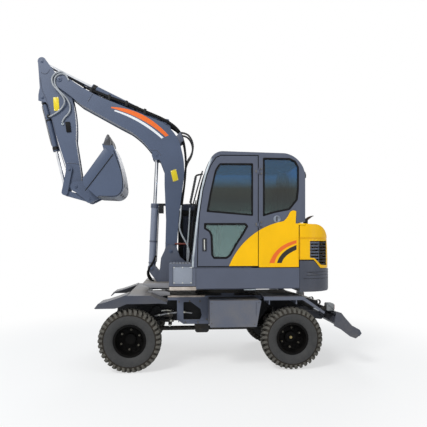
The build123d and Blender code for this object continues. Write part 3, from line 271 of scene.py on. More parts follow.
# ======================== castings and bare steel
# Axles, gearbox and engine are sand-cast iron under thin black paint: a pebbled skin, oily and dusty. Rods
# are hard-chromed and polished; the tie rod is turned steel and the slewing ring lies in grease.
def rough_metal(name, colour, stain, metallic, low, high, grain_mm, depth):
    """Cast, machined or plated metal: two colours, a roughness range and a grain of a real size."""
    material, tree = new_material(name)
    place = add_node(tree, "TexCoord").outputs["Object"]
    grain = add_node(tree, "TexNoise", Vector=place, Scale=1000.0 / grain_mm, Detail=3.0)
    cloud = add_node(tree, "TexNoise", Vector=place, Scale=7.0, Detail=6.0, Roughness=0.65)
    spots = add_node(tree, "MapRange", Value=cloud, From_Min=0.42, From_Max=0.68)
    body = add_node(tree, "Mix", COLOURS, i0=spots, i6=linear(colour), i7=linear(stain)).outputs[2]
    rough = add_node(tree, "MapRange", Value=cloud, From_Min=0.3, From_Max=0.7, To_Min=low, To_Max=high)
    return surface(material, body, rough, grain, depth, 0.001, Metallic=metallic)


cast_iron = rough_metal("cast_iron_painted", "#18191b", "#4a443c", 0.0, 0.45, 0.8, 5.0, 0.35)
machined = rough_metal("machined_steel", "#9b9da2", "#5d5b58", 1.0, 0.25, 0.5, 1.2, 0.08)
chrome = rough_metal("hard_chrome", "#e4e6ea", "#c3c6cc", 1.0, 0.06, 0.16, 0.6, 0.02)
zinc = rough_metal("zinc_plated_steel", "#c9cac6", "#a29f90", 1.0, 0.28, 0.5, 1.5, 0.06)
paint(cast_iron, "front_axle", "rear_axle", "driveline", "engine_block", "knuckle_left", "knuckle_right")
paint(rough_metal("greased_bearing_steel", "#1d1c1b", "#3a352c", 0.4, 0.3, 0.6, 4.0, 0.1), "slew_ring")
paint(machined, "tie_rod")
paint(chrome, "boom_rod", "arm_rod", "bucket_rod", "blade_rods")
paint(black_paint, "exhaust")


# ======================== rubber and moulded plastic
# Seals, hoses and mats are carbon-black rubber; consoles and lamp bodies are moulded plastic. Both have a
# fine leathery skin that spreads the light.
def moulded(name, colour, worn, low, high, grain_mm, depth, shine=0.4):
    """Rubber or plastic with a moulded grain; worn is its colour where it is chalky or dusty."""
    material, tree = new_material(name)
    place = add_node(tree, "TexCoord").outputs["Object"]
    grain = add_node(tree, "TexVoronoi", Vector=place, Scale=1000.0 / grain_mm)
    cloud = add_node(tree, "TexNoise", Vector=place, Scale=12.0, Detail=7.0, Roughness=0.7)
    chalk = add_node(tree, "MapRange", Value=cloud, From_Min=0.4, From_Max=0.72)
    body = add_node(tree, "Mix", COLOURS, i0=chalk, i6=linear(colour), i7=linear(worn)).outputs[2]
    rough = add_node(tree, "MapRange", Value=cloud, To_Min=low, To_Max=high)
    return surface(material, body, rough, grain, depth, 0.001, IOR=1.5, Specular_IOR_Level=shine)


seal_rubber = moulded("seal_rubber", "#070708", "#161618", 0.5, 0.7, 3.0, 0.1, shine=0.15)
black_plastic = moulded("black_plastic", "#131416", "#26272a", 0.4, 0.6, 2.5, 0.2)
paint(black_plastic, "controls", "work_lamp")


# ======================== windows
# Safety glass bonded behind the frames. Its colour, set by height, is a painted reflection: pale teal at the
# foot, a dark olive band at eye height and the blue of the sky across the top. Extruded rubber channels hold
# the panes, with a black lip round every window.
GLASS_TINTS_AND_REFLECTIONS = [  # height in metres, tint
    (1.5, "#bfe2de"),
    (2.08, "#a9cdc9"),
    (2.2, "#4f6c69"),
    (2.34, "#3c4b48"),
    (2.5, "#474d40"),
    (2.6, "#5a8194"),
    (2.7, "#4a8ab4"),
    (2.9, "#4484b0"),
]
GLASS_LOW = GLASS_TINTS_AND_REFLECTIONS[0][0]
GLASS_HIGH = GLASS_TINTS_AND_REFLECTIONS[-1][0]
glass, tree = new_material("tinted_glass_with_painted_reflection")
place = add_node(tree, "TexCoord").outputs["Object"]
height = add_node(tree, "SeparateXYZ", Vector=place).outputs["Z"]
part = add_node(tree, "MapRange", Value=height, From_Min=GLASS_LOW, From_Max=GLASS_HIGH)
tint_and_reflection = add_node(tree, "ValToRGB", Fac=part)
# The ramp paints reflections into the pane's colour: pale teal low down, dark olive at eye height, sky blue
# on top.
for number, (level, shade) in enumerate(GLASS_TINTS_AND_REFLECTIONS):
    spot = (level - GLASS_LOW) / (GLASS_HIGH - GLASS_LOW)
    stops = tint_and_reflection.color_ramp.elements
    stop = stops[number] if number < 2 else stops.new(spot)
    stop.position = spot
    stop.color = linear(shade)
smear = add_node(tree, "TexNoise", Vector=place, Scale=6.0, Detail=5.0)
rough = add_node(tree, "MapRange", Value=smear, To_Min=0.0, To_Max=0.06)
pane = add_node(tree, "BsdfPrincipled", Base_Color=tint_and_reflection, Roughness=rough, Transmission_Weight=0.84, IOR=1.5)
add_node(tree, "OutputMaterial", Surface=pane)
paint(glass, "cab_glass", "door_glass")


def only(piece):
    """Select one object and make it the active one, out of edit mode."""
    object_mode()
    bpy.ops.object.select_all(action="DESELECT")
    piece.select_set(True)
    bpy.context.view_layer.objects.active = piece


def at_origin(piece, name, material, body):
    """Finish a piece: its place goes into its mesh, and it gets its name, finish and body."""
    only(piece)
    bpy.ops.object.transform_apply(location=True, rotation=True, scale=True)
    piece.name = name
    piece.data.name = name
    piece.data.materials.clear()
    piece.data.materials.append(material)
    if body:
        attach(piece, body)
    return piece


def edit(action="SELECT"):
    """Go into edit mode with everything selected, or nothing."""
    bpy.ops.object.mode_set(mode="EDIT")
    bpy.ops.mesh.select_all(action=action)


def smooth(degrees):
    """Smooth the shading, except across edges that turn by more."""
    bpy.ops.object.shade_smooth_by_angle(angle=math.radians(degrees))


def change(piece, kind, **settings):
    """Add a modifier and apply it."""
    modifier = piece.modifiers.new("change", kind)
    for name, value in settings.items():
        setattr(modifier, name, value)
    bpy.context.view_layer.objects.active = piece
    bpy.ops.object.modifier_apply(modifier=modifier.name)


def signed_area(points):
    """Twice the area of an outline, positive where it runs anticlockwise."""
    return sum(a[0] * b[1] - b[0] * a[1] for a, b in zip(points, points[1:] + points[:1]))


def outline(points, y, corner=0.0):
    """A filled side outline at one width, made from a filled circle and left in edit mode."""
    sheet = lone("circle", vertices=len(points), fill_type="NGON")
    ordered = points if signed_area(points) > 0 else points[::-1]
    for vertex, (x, z) in zip(sheet.data.vertices, ordered):
        vertex.co = (x / 1000, y / 1000, z / 1000)
    edit()
    if corner:
        bpy.ops.mesh.bevel(affect="VERTICES", offset=corner / 1000, segments=4)


def thicken(depth, edge=0.0):
    """Give the selected sheet its thickness along the width, then round its rims."""
    bpy.ops.mesh.extrude_region_move(TRANSFORM_OT_translate={"value": (0, depth / 1000, 0)})
    bpy.ops.mesh.select_all(action="SELECT")
    bpy.ops.mesh.normals_make_consistent(inside=False)
    object_mode()
    if edge:
        change(bpy.context.object, "BEVEL", width=edge / 1000, segments=2, limit_method="ANGLE",
               angle_limit=math.radians(50))
    smooth(35)
    return bpy.context.object


def plate(points, y, depth, corner=0.0, edge=1.0):
    """A plate with a side outline, from width y inwards by depth."""
    outline(points, y, corner)
    return thicken(depth, edge)


def ring(points, y, depth, width, corner=0.0, edge=1.0):
    """A frame-shaped strip inside a side outline."""
    outline(points, y, corner)
    bpy.ops.mesh.inset(thickness=width / 1000, use_even_offset=True)
    bpy.ops.mesh.delete(type="FACE")
    bpy.ops.mesh.select_all(action="SELECT")
    return thicken(depth, edge)


DOOR_UPPER = [(342, 2846), (800, 2851), (800, 2126), (158, 2178), (206, 2450), (274, 2750), (315, 2818)]
DOOR_LOWER = [(124, 2028), (700, 2030), (735, 1985), (658, 1852), (576, 1729), (493, 1579), (440, 1538),
              (255, 1538), (222, 1593), (213, 1852), (192, 1906), (124, 1947)]
QUARTER = [(935, 2930), (1311, 2930), (1395, 2890), (1440, 2806), (1440, 2488), (1423, 2350), (1311, 2211),
           (1101, 2169), (935, 2120)]
RIGHT = [(300, 2846), (1360, 2846), (1430, 2780), (1440, 2500), (1311, 2240), (900, 2160), (180, 2178),
         (240, 2450)]
SEALS = [  # name, outline, outer face, thickness, width, body
    ("door_upper_seal", DOOR_UPPER, -939.5, 25, "door"),
    ("door_lower_seal", DOOR_LOWER, -939.5, 28, "door"),
    ("quarter_seal", QUARTER, -939.5, 26, "upper"),
    ("right_window_seal", RIGHT, 2.5, 22, "upper"),
]
for name, points, y, width, body in SEALS:
    at_origin(ring(points, y, 9, width, corner=16, edge=2.0), name, seal_rubber, body)


# ======================== tyres
# Cross-ply traction tyres, moulded in carbon-black rubber: a smooth sidewall with one moulded ring, and 36
# shoulder blocks a side that run in to the middle at a slant, tan with dried mud between and on them. The
# tread floor and the moulded ring's groove are darker: painted shade, under some dried mud.
TREAD_R = 430.0
TREAD_FLOOR_R = 345.0
BLOCKS = 36
TYRE_PROFILE = [  # distance outboard of the middle, radius
    (0, 396), (60, 396), (96, 390), (106, 376), (110, 362), (112, 358), (105, 355), (105, 346), (113.5, 343),
    (115.5, 330), (116.5, 310), (114, 285), (107, 258), (97, 237), (88, 226), (83, 222), (83, 204), (60, 196),
]
WHEELS = [  # name, axle x, side of the machine
    ("front_left", -880.0, -1),
    ("front_right", -880.0, 1),
    ("rear_left", 1354.0, -1),
    ("rear_right", 1354.0, 1),
]
TRACK_HALF = 832.5
AXLE_Z = 430.0
FRONT_TURN = 0.03  # radians by which the tyres stand turned on their axles
REAR_TURN = 0.06
SHOULDER = [  # distance outboard of the middle, how far round the section lies, width, inner and outer radius
    (-4, 0, 24, 392, 430),
    (34, 8, 26, 392, 429.5),
    (72, 26, 30, 390, 427),
    (98, 38, 34, 384, 421),
    (108, 41, 35, 372, 410),
    (114, 42, 33, 362, 388),
    (115.5, 42, 30, 356, 372),
]


def tyre_rubber(name, clean, dust, amount, crumb_mm):
    """Moulded tyre rubber under dried mud, thickest on the outer part."""
    material, tree = new_material(name)
    place = add_node(tree, "TexCoord").outputs["Object"]
    crust = add_node(tree, "TexNoise", Vector=place, Scale=14.0, Detail=8.0, Roughness=0.7)
    crumbs = add_node(tree, "TexNoise", Vector=place, Scale=1000.0 / crumb_mm, Detail=4.0, Roughness=0.7)
    mud = add_node(tree, "Math", MULTIPLY, i0=crust, i1=crumbs)
    layer = add_node(tree, "MapRange", Value=mud, From_Min=0.12, From_Max=0.36, To_Min=amount * 0.3,
                     To_Max=amount)
    body = add_node(tree, "Mix", COLOURS, i0=layer, i6=linear(clean), i7=linear(dust)).outputs[2]
    rough = add_node(tree, "MapRange", Value=layer, To_Min=0.55, To_Max=0.95)
    return surface(material, body, rough, mud, 0.35, 0.003, IOR=1.5, Specular_IOR_Level=0.25)


sidewall_rubber = tyre_rubber("sidewall_rubber", "#2d2e30", "#5a5854", 0.4, 9.0)
muddy_rubber = tyre_rubber("tread_rubber_with_dried_mud", "#2a2a29", "#77736a", 0.7, 7.0)
# Darker rubber for the tread floor and grooves: painted shade, with some dried mud.
groove_shade_rubber = tyre_rubber("tread_floor_rubber_painted_shade", "#151413", "#4a4339", 0.6, 7.0)


def turned(profile, turns=96):
    """Spin a profile of (distance along Y, radius) round the Y axis, at the world's middle."""
    wire = lone("circle", vertices=len(profile), fill_type="NOTHING")
    for vertex, (along, radius) in zip(wire.data.vertices, profile):
        vertex.co = (0, along / 1000, radius / 1000)
    edit()
    bpy.ops.mesh.spin(steps=turns, angle=2 * math.pi, center=(0, 0, 0), axis=(0, 1, 0))
    bpy.ops.mesh.select_all(action="SELECT")
    bpy.ops.mesh.remove_doubles(threshold=0.00005)
    bpy.ops.mesh.normals_make_consistent(inside=False)
    object_mode()
    smooth(35)
    return wire


def joined(pieces):
    """Join pieces into the first one, keeping their materials."""
    bpy.ops.object.select_all(action="DESELECT")
    for piece in pieces:
        piece.select_set(True)
    bpy.context.view_layer.objects.active = pieces[0]
    bpy.ops.object.join()
    return pieces[0]


def bar(sections):
    """A solid bar through four-cornered sections, extruded from one to the next; corners go row by row."""
    solid = lone("plane", size=0.01)
    for vertex, corner in zip(solid.data.vertices, sections[0]):
        vertex.co = corner
    for section in sections[1:]:
        bpy.ops.object.mode_set(mode="EDIT")
        bpy.ops.mesh.extrude_region_move(TRANSFORM_OT_translate={"value": (0, 0.001, 0)})
        object_mode()
        top = [vertex for vertex in solid.data.vertices if vertex.select]
        for vertex, corner in zip(top, section):
            vertex.co = corner
    edit()
    bpy.ops.mesh.normals_make_consistent(inside=False)
    object_mode()
    return solid


def block_section(along, centre, width, low, high):
    """Four corners of a tread block's section, turned round the axle by a distance along the tread."""
    corners = []
    for radius, half in ((low, width * 0.62), (high, width * 0.5)):
        for turn in ((centre - half) / TREAD_R, (centre + half) / TREAD_R):
            corners.append((radius / 1000 * math.sin(turn), along / 1000, radius / 1000 * math.cos(turn)))
    return corners


def at(x, y, z):
    """The move to a place in millimetres."""
    return Matrix.Translation((x / 1000, y / 1000, z / 1000))


def remove(*shapes):
    """Take away shapes that only served to be copied."""
    for shape in shapes:
        bpy.data.objects.remove(shape)


def copied(piece, matrix):
    """A copy with its own mesh, placed by a matrix."""
    copy = piece.copy()
    copy.data = piece.data.copy()
    copy.data.transform(matrix)
    bpy.context.scene.collection.objects.link(copy)
    return copy


block = bar([block_section(*row) for row in SHOULDER])
change(block, "BEVEL", width=0.003, segments=1, limit_method="ANGLE")
block.data.materials.append(muddy_rubber)
tread = []
for number in range(BLOCKS * 2):
    side = 1 if number < BLOCKS else -1
    turn = 2 * math.pi * (number + (0.5 if side < 0 else 0.0)) / BLOCKS
    tread.append(copied(block, Matrix.Rotation(turn, 4, "Y") @ Matrix.Diagonal((1, side, 1, 1))))
    if side < 0:
        tread[-1].data.flip_normals()
remove(block)
carcass = turned(TYRE_PROFILE[::-1] + [(-along, radius) for along, radius in TYRE_PROFILE])
carcass.data.materials.append(sidewall_rubber)
carcass.data.materials.append(groove_shade_rubber)
# Faces beyond the tread floor's radius, the moulded ring's groove among them, take the darker rubber: painted
# shade.
for face in carcass.data.polygons:
    outer = max((carcass.data.vertices[index].co.xz).length for index in face.vertices)
    face.material_index = 1 if outer > TREAD_FLOOR_R / 1000 else 0
tyre = joined([carcass] + tread)
for name, x, side in WHEELS:
    turn = Matrix.Rotation(FRONT_TURN if x < 0 else REAR_TURN, 4, "Y")
    copy = copied(tyre, at(x, side * TRACK_HALF, AXLE_Z) @ turn)
    copy.name = f"traction_tyre_{name}"
    copy.data.name = copy.name
    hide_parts(f"tyre_{name}")
    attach(copy, f"wheel_{name}")
remove(tyre)


# ======================== wheels
# Pressed steel discs welded into rolled rims, painted black, with six plated nuts; the driven rear wheels
# show the brass-coloured cap of the hub reduction. The rims' near-perfect black is black paint with the
# painted shade of the deep-set dish.
NUTS = 6
NUT_CIRCLE_R = 137
FIRST_NUT = 25  # degrees
DISC_DEPTH = 42  # how far the disc's face lies inwards of the tyre's middle
HUB_DEPTH = 24
# Near-perfect black: black paint with the painted shade of the deep-set dish.
rim_paint_and_shade = moulded("black_rim_paint_and_painted_shade", "#030303", "#100e0c", 0.5, 0.8, 6.0, 0.1, shine=0.1)
dusty_zinc = rough_metal("dusty_zinc_nuts", "#6e6a60", "#3b372f", 0.5, 0.45, 0.75, 3.0, 0.1)
brass = rough_metal("brass_cap", "#a8996a", "#6b6248", 1.0, 0.25, 0.45, 1.5, 0.05)
paint(rim_paint_and_shade, *[f"wheel_{row[0]}" for row in WHEELS])


def hexagon(across, height):
    """A six-sided head with a turned top, on the ground plane and facing up."""
    head = lone("cylinder", vertices=6, radius=across / 1732, depth=height / 1000,
                location=(0, 0, height / 2000))
    edit("DESELECT")
    object_mode()
    for face in head.data.polygons:
        face.select = face.normal.z > 0.9
    bpy.ops.object.mode_set(mode="EDIT")
    bpy.ops.mesh.inset(thickness=across * 0.12 / 1000)
    bpy.ops.mesh.extrude_region_move(TRANSFORM_OT_translate={"value": (0, 0, height * 0.18 / 1000)})
    object_mode()
    bpy.ops.object.transform_apply(location=True)
    return head


def facing(direction):
    """Turn that takes straight up to a direction."""
    return Vector(direction).to_track_quat("Z", "Y").to_matrix().to_4x4()


def spread(piece, places, name, material, body):
    """Copies of a piece at (x, y, z, direction) in millimetres, joined as one piece."""
    copies = [copied(piece, at(x, y, z) @ facing(direction)) for x, y, z, direction in places]
    return at_origin(joined(copies), name, material, body)


nut = hexagon(27, 18)
stud = lone("cylinder", vertices=12, radius=0.008, depth=0.014, location=(0, 0, 0.03))
bpy.ops.object.transform_apply(location=True)
nut = joined([nut, stud])
cap = lone("cylinder", vertices=24, radius=0.021, depth=0.02, location=(0, 0, 0.01))
edit()
bpy.ops.mesh.bevel(offset=0.006, segments=3, affect="EDGES")
object_mode()
bpy.ops.object.transform_apply(location=True)
for name, x, side in WHEELS:
    places = []
    for number in range(NUTS):
        turn = math.radians(FIRST_NUT + 360 / NUTS * number)
        places.append((x + NUT_CIRCLE_R * math.cos(turn), side * (TRACK_HALF - DISC_DEPTH),
                       AXLE_Z - side * NUT_CIRCLE_R * math.sin(turn), (0, side, 0)))
    spread(nut, places, f"wheel_nuts_{name}", dusty_zinc, f"wheel_{name}")
    if x > 0:
        spread(cap, [(x, side * (TRACK_HALF - HUB_DEPTH), AXLE_Z, (0, side, 0))], f"hub_cap_{name}", brass,
               f"wheel_{name}")
remove(nut, cap)


# ======================== cab shell
# The cab is pressed sheet on rolled posts, so its outline turns into its sides with a round edge. The piece
# is the cab's own shell with that edge rolled; the hinge leaves and window openings stay as they are.
EDGE_ROLL = 34.0
SHELL_SIDES = (-0.938, 0.010)  # metres, the outer faces of its two sides
SHELL_MIDDLE = (0.75, 2.2)  # metres, x and z
ROLLED_FROM = 1.5  # metres; the floor's edges stay sharp
OPENINGS = (0.05, 1.45, 2.96)  # metres; the windows lie between these x and below this z
shell = copied(nodes["cab_frame"], Matrix())
shell.parent = None
only(shell)
edit()
bpy.ops.mesh.remove_doubles(threshold=0.0001)
bpy.ops.mesh.dissolve_limited(angle_limit=math.radians(1.0))
bpy.ops.mesh.select_all(action="DESELECT")
bpy.ops.mesh.select_mode(type="EDGE")
cab = bmesh.from_edit_mesh(shell.data)
for edge in cab.edges:
    ends = [vertex.co for vertex in edge.verts]
    on_side = any(all(abs(end.y - y) < 0.0005 for end in ends) for y in SHELL_SIDES)
    around = [face.normal for face in edge.link_faces]
    if not on_side or len(around) != 2:
        continue
    across = [normal for normal in around if abs(normal.y) < 0.1]
    middle = (ends[0] + ends[1]) / 2
    outwards = middle - Vector((SHELL_MIDDLE[0], middle.y, SHELL_MIDDLE[1]))
    if len(across) == 1 and across[0].dot(outwards) > 0.15 and middle.z > ROLLED_FROM:
        in_opening = OPENINGS[0] < middle.x < OPENINGS[1] and middle.z < OPENINGS[2]
        edge.select = not in_opening
bmesh.update_edit_mesh(shell.data)
bpy.ops.mesh.bevel(offset=EDGE_ROLL / 1000, segments=5, profile=0.5, clamp_overlap=True)
bpy.ops.mesh.select_mode(type="VERT")
object_mode()
smooth(30)
at_origin(shell, "cab_shell", slate, "upper")
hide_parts("cab_frame")


# ======================== door fittings
# A rubber bead runs round the door opening, and a pressed cup with a plated pull bar opens the door. The
# lock of the side window is a plated bezel with a dark key slot, on the post behind the door.
DOOR_OPENING = [(36, 1436), (43, 1797), (63, 2137), (111, 2476), (165, 2680), (220, 2817), (288, 2920),
                (356, 2952), (870, 2956), (870, 1436)]


def grown(points, amount):
    """The outline moved outwards by an amount, corner by corner."""
    sign = 1 if signed_area(points) > 0 else -1
    moved = []
    for before, here, after in zip(points[-1:] + points[:-1], points, points[1:] + points[:1]):
        one = Vector((here[1] - before[1], before[0] - here[0])).normalized() * sign
        two = Vector((after[1] - here[1], here[0] - after[0])).normalized() * sign
        half = (one + two).normalized()
        step = amount / max(0.4, half.dot(one))
        moved.append((here[0] + half.x * step, here[1] + half.y * step))
    return moved


def rectangle(x_low, z_low, x_high, z_high):
    """A rectangular side outline."""
    return [(x_low, z_low), (x_high, z_low), (x_high, z_high), (x_low, z_high)]


def curve_through(name, kind, points):
    """A curve with one spline through points in metres."""
    curve = bpy.data.curves.new(name, "CURVE")
    curve.dimensions = "3D"
    spline = curve.splines.new(kind)
    spline.points.add(len(points) - 1)
    for point, place in zip(spline.points, points):
        point.co = (*place, 1.0)
    return curve


def corrugated(name, curve, ribs):
    """The curve again as short straight steps, narrow at every second point; ribs is their pitch."""
    route = bpy.data.objects.new(name + "_route", curve)
    line = [vertex.co.copy() for vertex in bpy.data.meshes.new_from_object(route).vertices]
    bpy.data.objects.remove(route)
    steps = [0.0]
    for one, two in zip(line, line[1:]):
        steps.append(steps[-1] + (two - one).length)
    count = int(steps[-1] * 1000 / ribs * 2)
    places = []
    for number in range(count + 1):
        want = steps[-1] * number / count
        index = max(i for i, length in enumerate(steps) if length <= want + 1e-9)
        index = min(index, len(line) - 2)
        part = (want - steps[index]) / max(1e-9, steps[index + 1] - steps[index])
        places.append(line[index].lerp(line[index + 1], part))
    ribbed = curve_through(name, "POLY", places)
    for number, point in enumerate(ribbed.splines[0].points):
        point.radius = 1.0 if number % 2 else 0.82
    return ribbed


def hose(name, points, radius, material, body, ribs=0.0):
    """A tube along a smooth curve through points in millimetres; ribs is the pitch of its corrugation."""
    curve = curve_through(name, "NURBS", [(x / 1000, y / 1000, z / 1000) for x, y, z in points])
    curve.splines[0].order_u = 3
    curve.splines[0].use_endpoint_u = True
    curve.resolution_u = 10
    if ribs:
        curve = corrugated(name, curve, ribs)
    curve.bevel_depth = radius / 1000
    curve.bevel_resolution = 3
    curve.use_fill_caps = True
    tube = bpy.data.objects.new(name, curve)
    bpy.context.scene.collection.objects.link(tube)
    only(tube)
    bpy.ops.object.convert(target="MESH")
    smooth(60)
    return at_origin(bpy.context.object, name, material, body)


def across_from(route, y):
    """A route on a side face, at one width."""
    return [(x, y, z) for x, z in route]


def plate_piece(name, points, y, depth, material, body, corner=0.0, edge=1.0):
    """A plate that is a piece by itself."""
    return at_origin(plate(points, y, depth, corner, edge), name, material, body)


bead = ring(grown(DOOR_OPENING, 7), -940.5, 6, 8, corner=6, edge=1.5)
at_origin(bead, "door_bead", seal_rubber, "upper")
cup = ring(rectangle(96, 1636, 169, 1824), -939.5, 4, 9, corner=20, edge=1.5)
back = plate(rectangle(101, 1641, 164, 1819), -920, 3, corner=14)
# The cup takes the darker slate: painted shade in the recess.
at_origin(joined([cup, back]), "door_handle_cup", shaded_slate, "door")
hose("door_pull_bar", [(134, -919, 1655), (134, -936, 1664), (131, -938, 1700), (129, -938, 1760),
                       (132, -936, 1796), (134, -919, 1805)], 10, zinc, "door")
bezel = turned([(0, 0), (8, 0), (8, 22), (11, 26), (11, 42), (8, 50), (0, 50)], turns=40)
bezel.data.transform(at(1132, -938, 2085) @ Matrix.Rotation(math.pi, 4, "Z"))
lock_metal = rough_metal("satin_lock_bezel", "#7f8691", "#5c6068", 0.5, 0.4, 0.65, 3.0, 0.1)
at_origin(bezel, "window_lock", lock_metal, "upper")
plate_piece("window_lock_slot", rectangle(1120, 2050, 1136, 2122), -949.5, 4, black_plastic, "upper",
            corner=6)


# ======================== cab lining
# Moulded lining on the far wall and in the door, light grey so that the cab is not dark, and a rubber mat on
# the floor.
lining = moulded("lining_plastic", "#a9b4b4", "#8d9797", 0.5, 0.7, 3.0, 0.15)
plate_piece("wall_lining", [(70, 1475), (820, 1475), (820, 1850), (860, 2120), (120, 2120)], -40, 3, lining,
            "upper", corner=20)
plate_piece("door_lining", rectangle(120, 1470, 440, 1520), -890, 4, lining, "door", corner=20)
plate_piece("floor_mat", rectangle(20, 1466, 770, 1476), -880, 830, seal_rubber, "upper")


# ======================== seat
# Cushion, backrest and headrest: foam under black woven cloth, swollen against its seams by a cloth
# simulation. Sewn channels part each pad in three, and a moulded pedestal carries the seat.
SEAT_Y = -464.0
VOXEL = 12
CHANNEL = 9  # half width and depth of a sewn channel
CHANNELS = (0.42, 0.98)  # where they run, as parts of the half width
SETTLING_FRAMES = 12
PADS = [  # name, side outline, half width, the most it may swell
    ("seat_cushion", [(700, 1935), (690, 1985), (722, 2016), (1160, 2006), (1165, 1935)], 225, 10),
    ("seat_backrest", [(1140, 2020), (1222, 2020), (1298, 2590), (1272, 2618), (1228, 2600)], 215, 9),
    ("seat_headrest", [(1238, 2610), (1294, 2610), (1312, 2776), (1262, 2780)], 118, 6),
]


def cloth(name, colour, thread, thread_mm):
    """Plain-woven polyester: two crossed sets of threads, with a soft sheen."""
    material, tree = new_material(name)
    place = add_node(tree, "TexCoord").outputs["Object"]
    warp = add_node(tree, "TexWave", {"bands_direction": "X"}, Vector=place, Scale=500.0 / thread_mm)
    weft = add_node(tree, "TexWave", {"bands_direction": "Z"}, Vector=place, Scale=500.0 / thread_mm)
    weave = add_node(tree, "Math", MULTIPLY, i0=warp.outputs["Fac"], i1=weft.outputs["Fac"])
    cloud = add_node(tree, "TexNoise", Vector=place, Scale=9.0, Detail=6.0)
    worn = add_node(tree, "Math", MULTIPLY, i0=weave, i1=cloud)
    body = add_node(tree, "Mix", COLOURS, i0=worn, i6=linear(colour), i7=linear(thread)).outputs[2]
    return surface(material, body, 0.85, weave, 0.4, 0.001, IOR=1.45, Sheen_Weight=0.35,
                   Sheen_Roughness=0.4)


def swell(pad, limit):
    """Swell a pad against its cover by pressure, each place by no more than a limit."""
    start = [vertex.co.copy() for vertex in pad.data.vertices]
    fabric = pad.modifiers.new("fabric", "CLOTH")
    fabric.settings.use_pressure = True
    fabric.settings.uniform_pressure_force = 4.0
    fabric.settings.effector_weights.gravity = 0.0
    fabric.settings.mass = 0.3
    for step in range(1, SETTLING_FRAMES + 1):
        bpy.context.scene.frame_set(step)
    bpy.ops.object.modifier_apply(modifier="fabric")
    bpy.context.scene.frame_set(1)
    for vertex, was in zip(pad.data.vertices, start):
        move = vertex.co - was
        if move.length > limit / 1000:
            vertex.co = was + move.normalized() * limit / 1000


seat_cloth = cloth("woven_seat_cloth", "#1d1e22", "#44464d", 4.0)
for name, points, half, limit in PADS:
    pad = plate(points, SEAT_Y - half, half * 2, corner=14, edge=0.0)
    change(pad, "REMESH", mode="VOXEL", voxel_size=VOXEL / 1000)
    swell(pad, limit)
    middle_x = sum(x for x, z in points) / len(points) / 1000
    middle_z = sum(z for x, z in points) / len(points) / 1000
    for vertex in pad.data.vertices:
        across = abs(vertex.co.y * 1000 - SEAT_Y)
        seam = min(abs(across - half * part) for part in CHANNELS)
        if seam < CHANNEL:
            inwards = Vector((middle_x, vertex.co.y, middle_z)) - vertex.co
            vertex.co += inwards.normalized() * CHANNEL / 1000 * (1 - seam / CHANNEL)
    change(pad, "SUBSURF", levels=1, render_levels=1)
    bpy.ops.object.shade_smooth()
    at_origin(pad, name, seat_cloth, "upper")
plate_piece("seat_pedestal", [(870, 1846), (1140, 1846), (1130, 1925), (880, 1925)], SEAT_Y - 180, 360,
            black_plastic, "upper", corner=12)
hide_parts("seat")


# ======================== trim on the panels
# Vinyl film cut in plain tapered stripes, orange, white and black, and bare yellow caution plates of
# enamelled aluminium held by four rivets. Nothing is printed on any of them.
def film(name, colour, gloss):
    """Cast vinyl film: one colour that fades a little, with a slight waviness from the paint under it."""
    material, tree = new_material(name)
    place = add_node(tree, "TexCoord").outputs["Object"]
    cloud = add_node(tree, "TexNoise", Vector=place, Scale=8.0, Detail=5.0)
    body = add_node(tree, "Mix", COLOURS, i0=cloud, i6=linear(colour), i7=faded(colour, 0.85)).outputs[2]
    rough = add_node(tree, "MapRange", Value=cloud, To_Min=gloss, To_Max=gloss + 0.15)
    return surface(material, body, rough, cloud, 0.05, 0.002, IOR=1.46)


orange_film = film("orange_vinyl_film", "#ee6c1a", 0.35)
white_film = film("white_vinyl_film", "#eceef0", 0.35)
black_film = film("black_vinyl_film", "#1a1410", 0.3)
caution = film("yellow_enamel", "#e8cf1c", 0.3)
SIDE_STRIPES = [  # name, lower arc, upper arc, film
    ("side_stripe_orange", ((1096, 1480), (1190, 1640), (1404, 1752)),
     ((1024, 1480), (1160, 1684), (1404, 1796)), orange_film),
    ("side_stripe_black", ((1196, 1480), (1262, 1580), (1404, 1664)),
     ((1130, 1480), (1222, 1628), (1404, 1728)), black_film),
]
BOOM_STRIPES = [  # name, lower arc, upper arc, film
    ("boom_stripe_orange", ((-1240, 3800), (-800, 3640), (-420, 3380)),
     ((-1240, 3816), (-780, 3712), (-372, 3400)), orange_film),
    ("boom_stripe_white", ((-1190, 3752), (-820, 3590), (-480, 3350)),
     ((-1190, 3772), (-800, 3622), (-450, 3366)), white_film),
]
CAUTION = [  # name, corners, face, body
    ("boom_caution_plate", [(-344, 2857), (-262, 2887), (-222, 2722), (-304, 2690)], -142.5, "boom"),
    ("arm_caution_plate", [(-2112, 3957), (-2032, 3962), (-2018, 3760), (-2098, 3752)], -87.5, "arm"),
]


def swept(low, high, steps=14):
    """A tapered stripe between two arcs, each given by start, middle and end points."""
    def along(arc, part):
        one, two, three = (Vector(point) for point in arc)
        pull = two * 2 - (one + three) / 2
        return one * (1 - part) ** 2 + pull * 2 * part * (1 - part) + three * part ** 2
    parts = [number / steps for number in range(steps + 1)]
    return [tuple(along(low, part)) for part in parts] + [tuple(along(high, part)) for part in parts[::-1]]


def stripes(rows, ending, y, body):
    """Stripes of film on one face."""
    for name, low, high, finish in rows:
        plate_piece(name + ending, swept(low, high), y, 0.4, finish, body, edge=0.0)


def screw_head(profile, turns):
    """A turned head that faces up."""
    head = turned(profile, turns)
    head.data.transform(Matrix.Rotation(math.pi / 2, 4, "X"))
    return head


stripes(SIDE_STRIPES, "", -946.4, "upper")
stripes(BOOM_STRIPES, "_left", -140.5, "boom")
stripes(BOOM_STRIPES, "_right", 140.1, "boom")
rivet = screw_head([(0, 0), (0, 5), (1.0, 4.6), (1.8, 2.6), (2.0, 0)], 12)
for name, corners, y, body in CAUTION:
    plate_piece(name, corners, y, 2.5, caution, body, corner=8, edge=0.6)
    places = [(x, y, z, (0, -1, 0)) for x, z in grown(corners, -12)]
    spread(rivet, places, name.replace("plate", "rivets"), zinc, body)
remove(rivet)
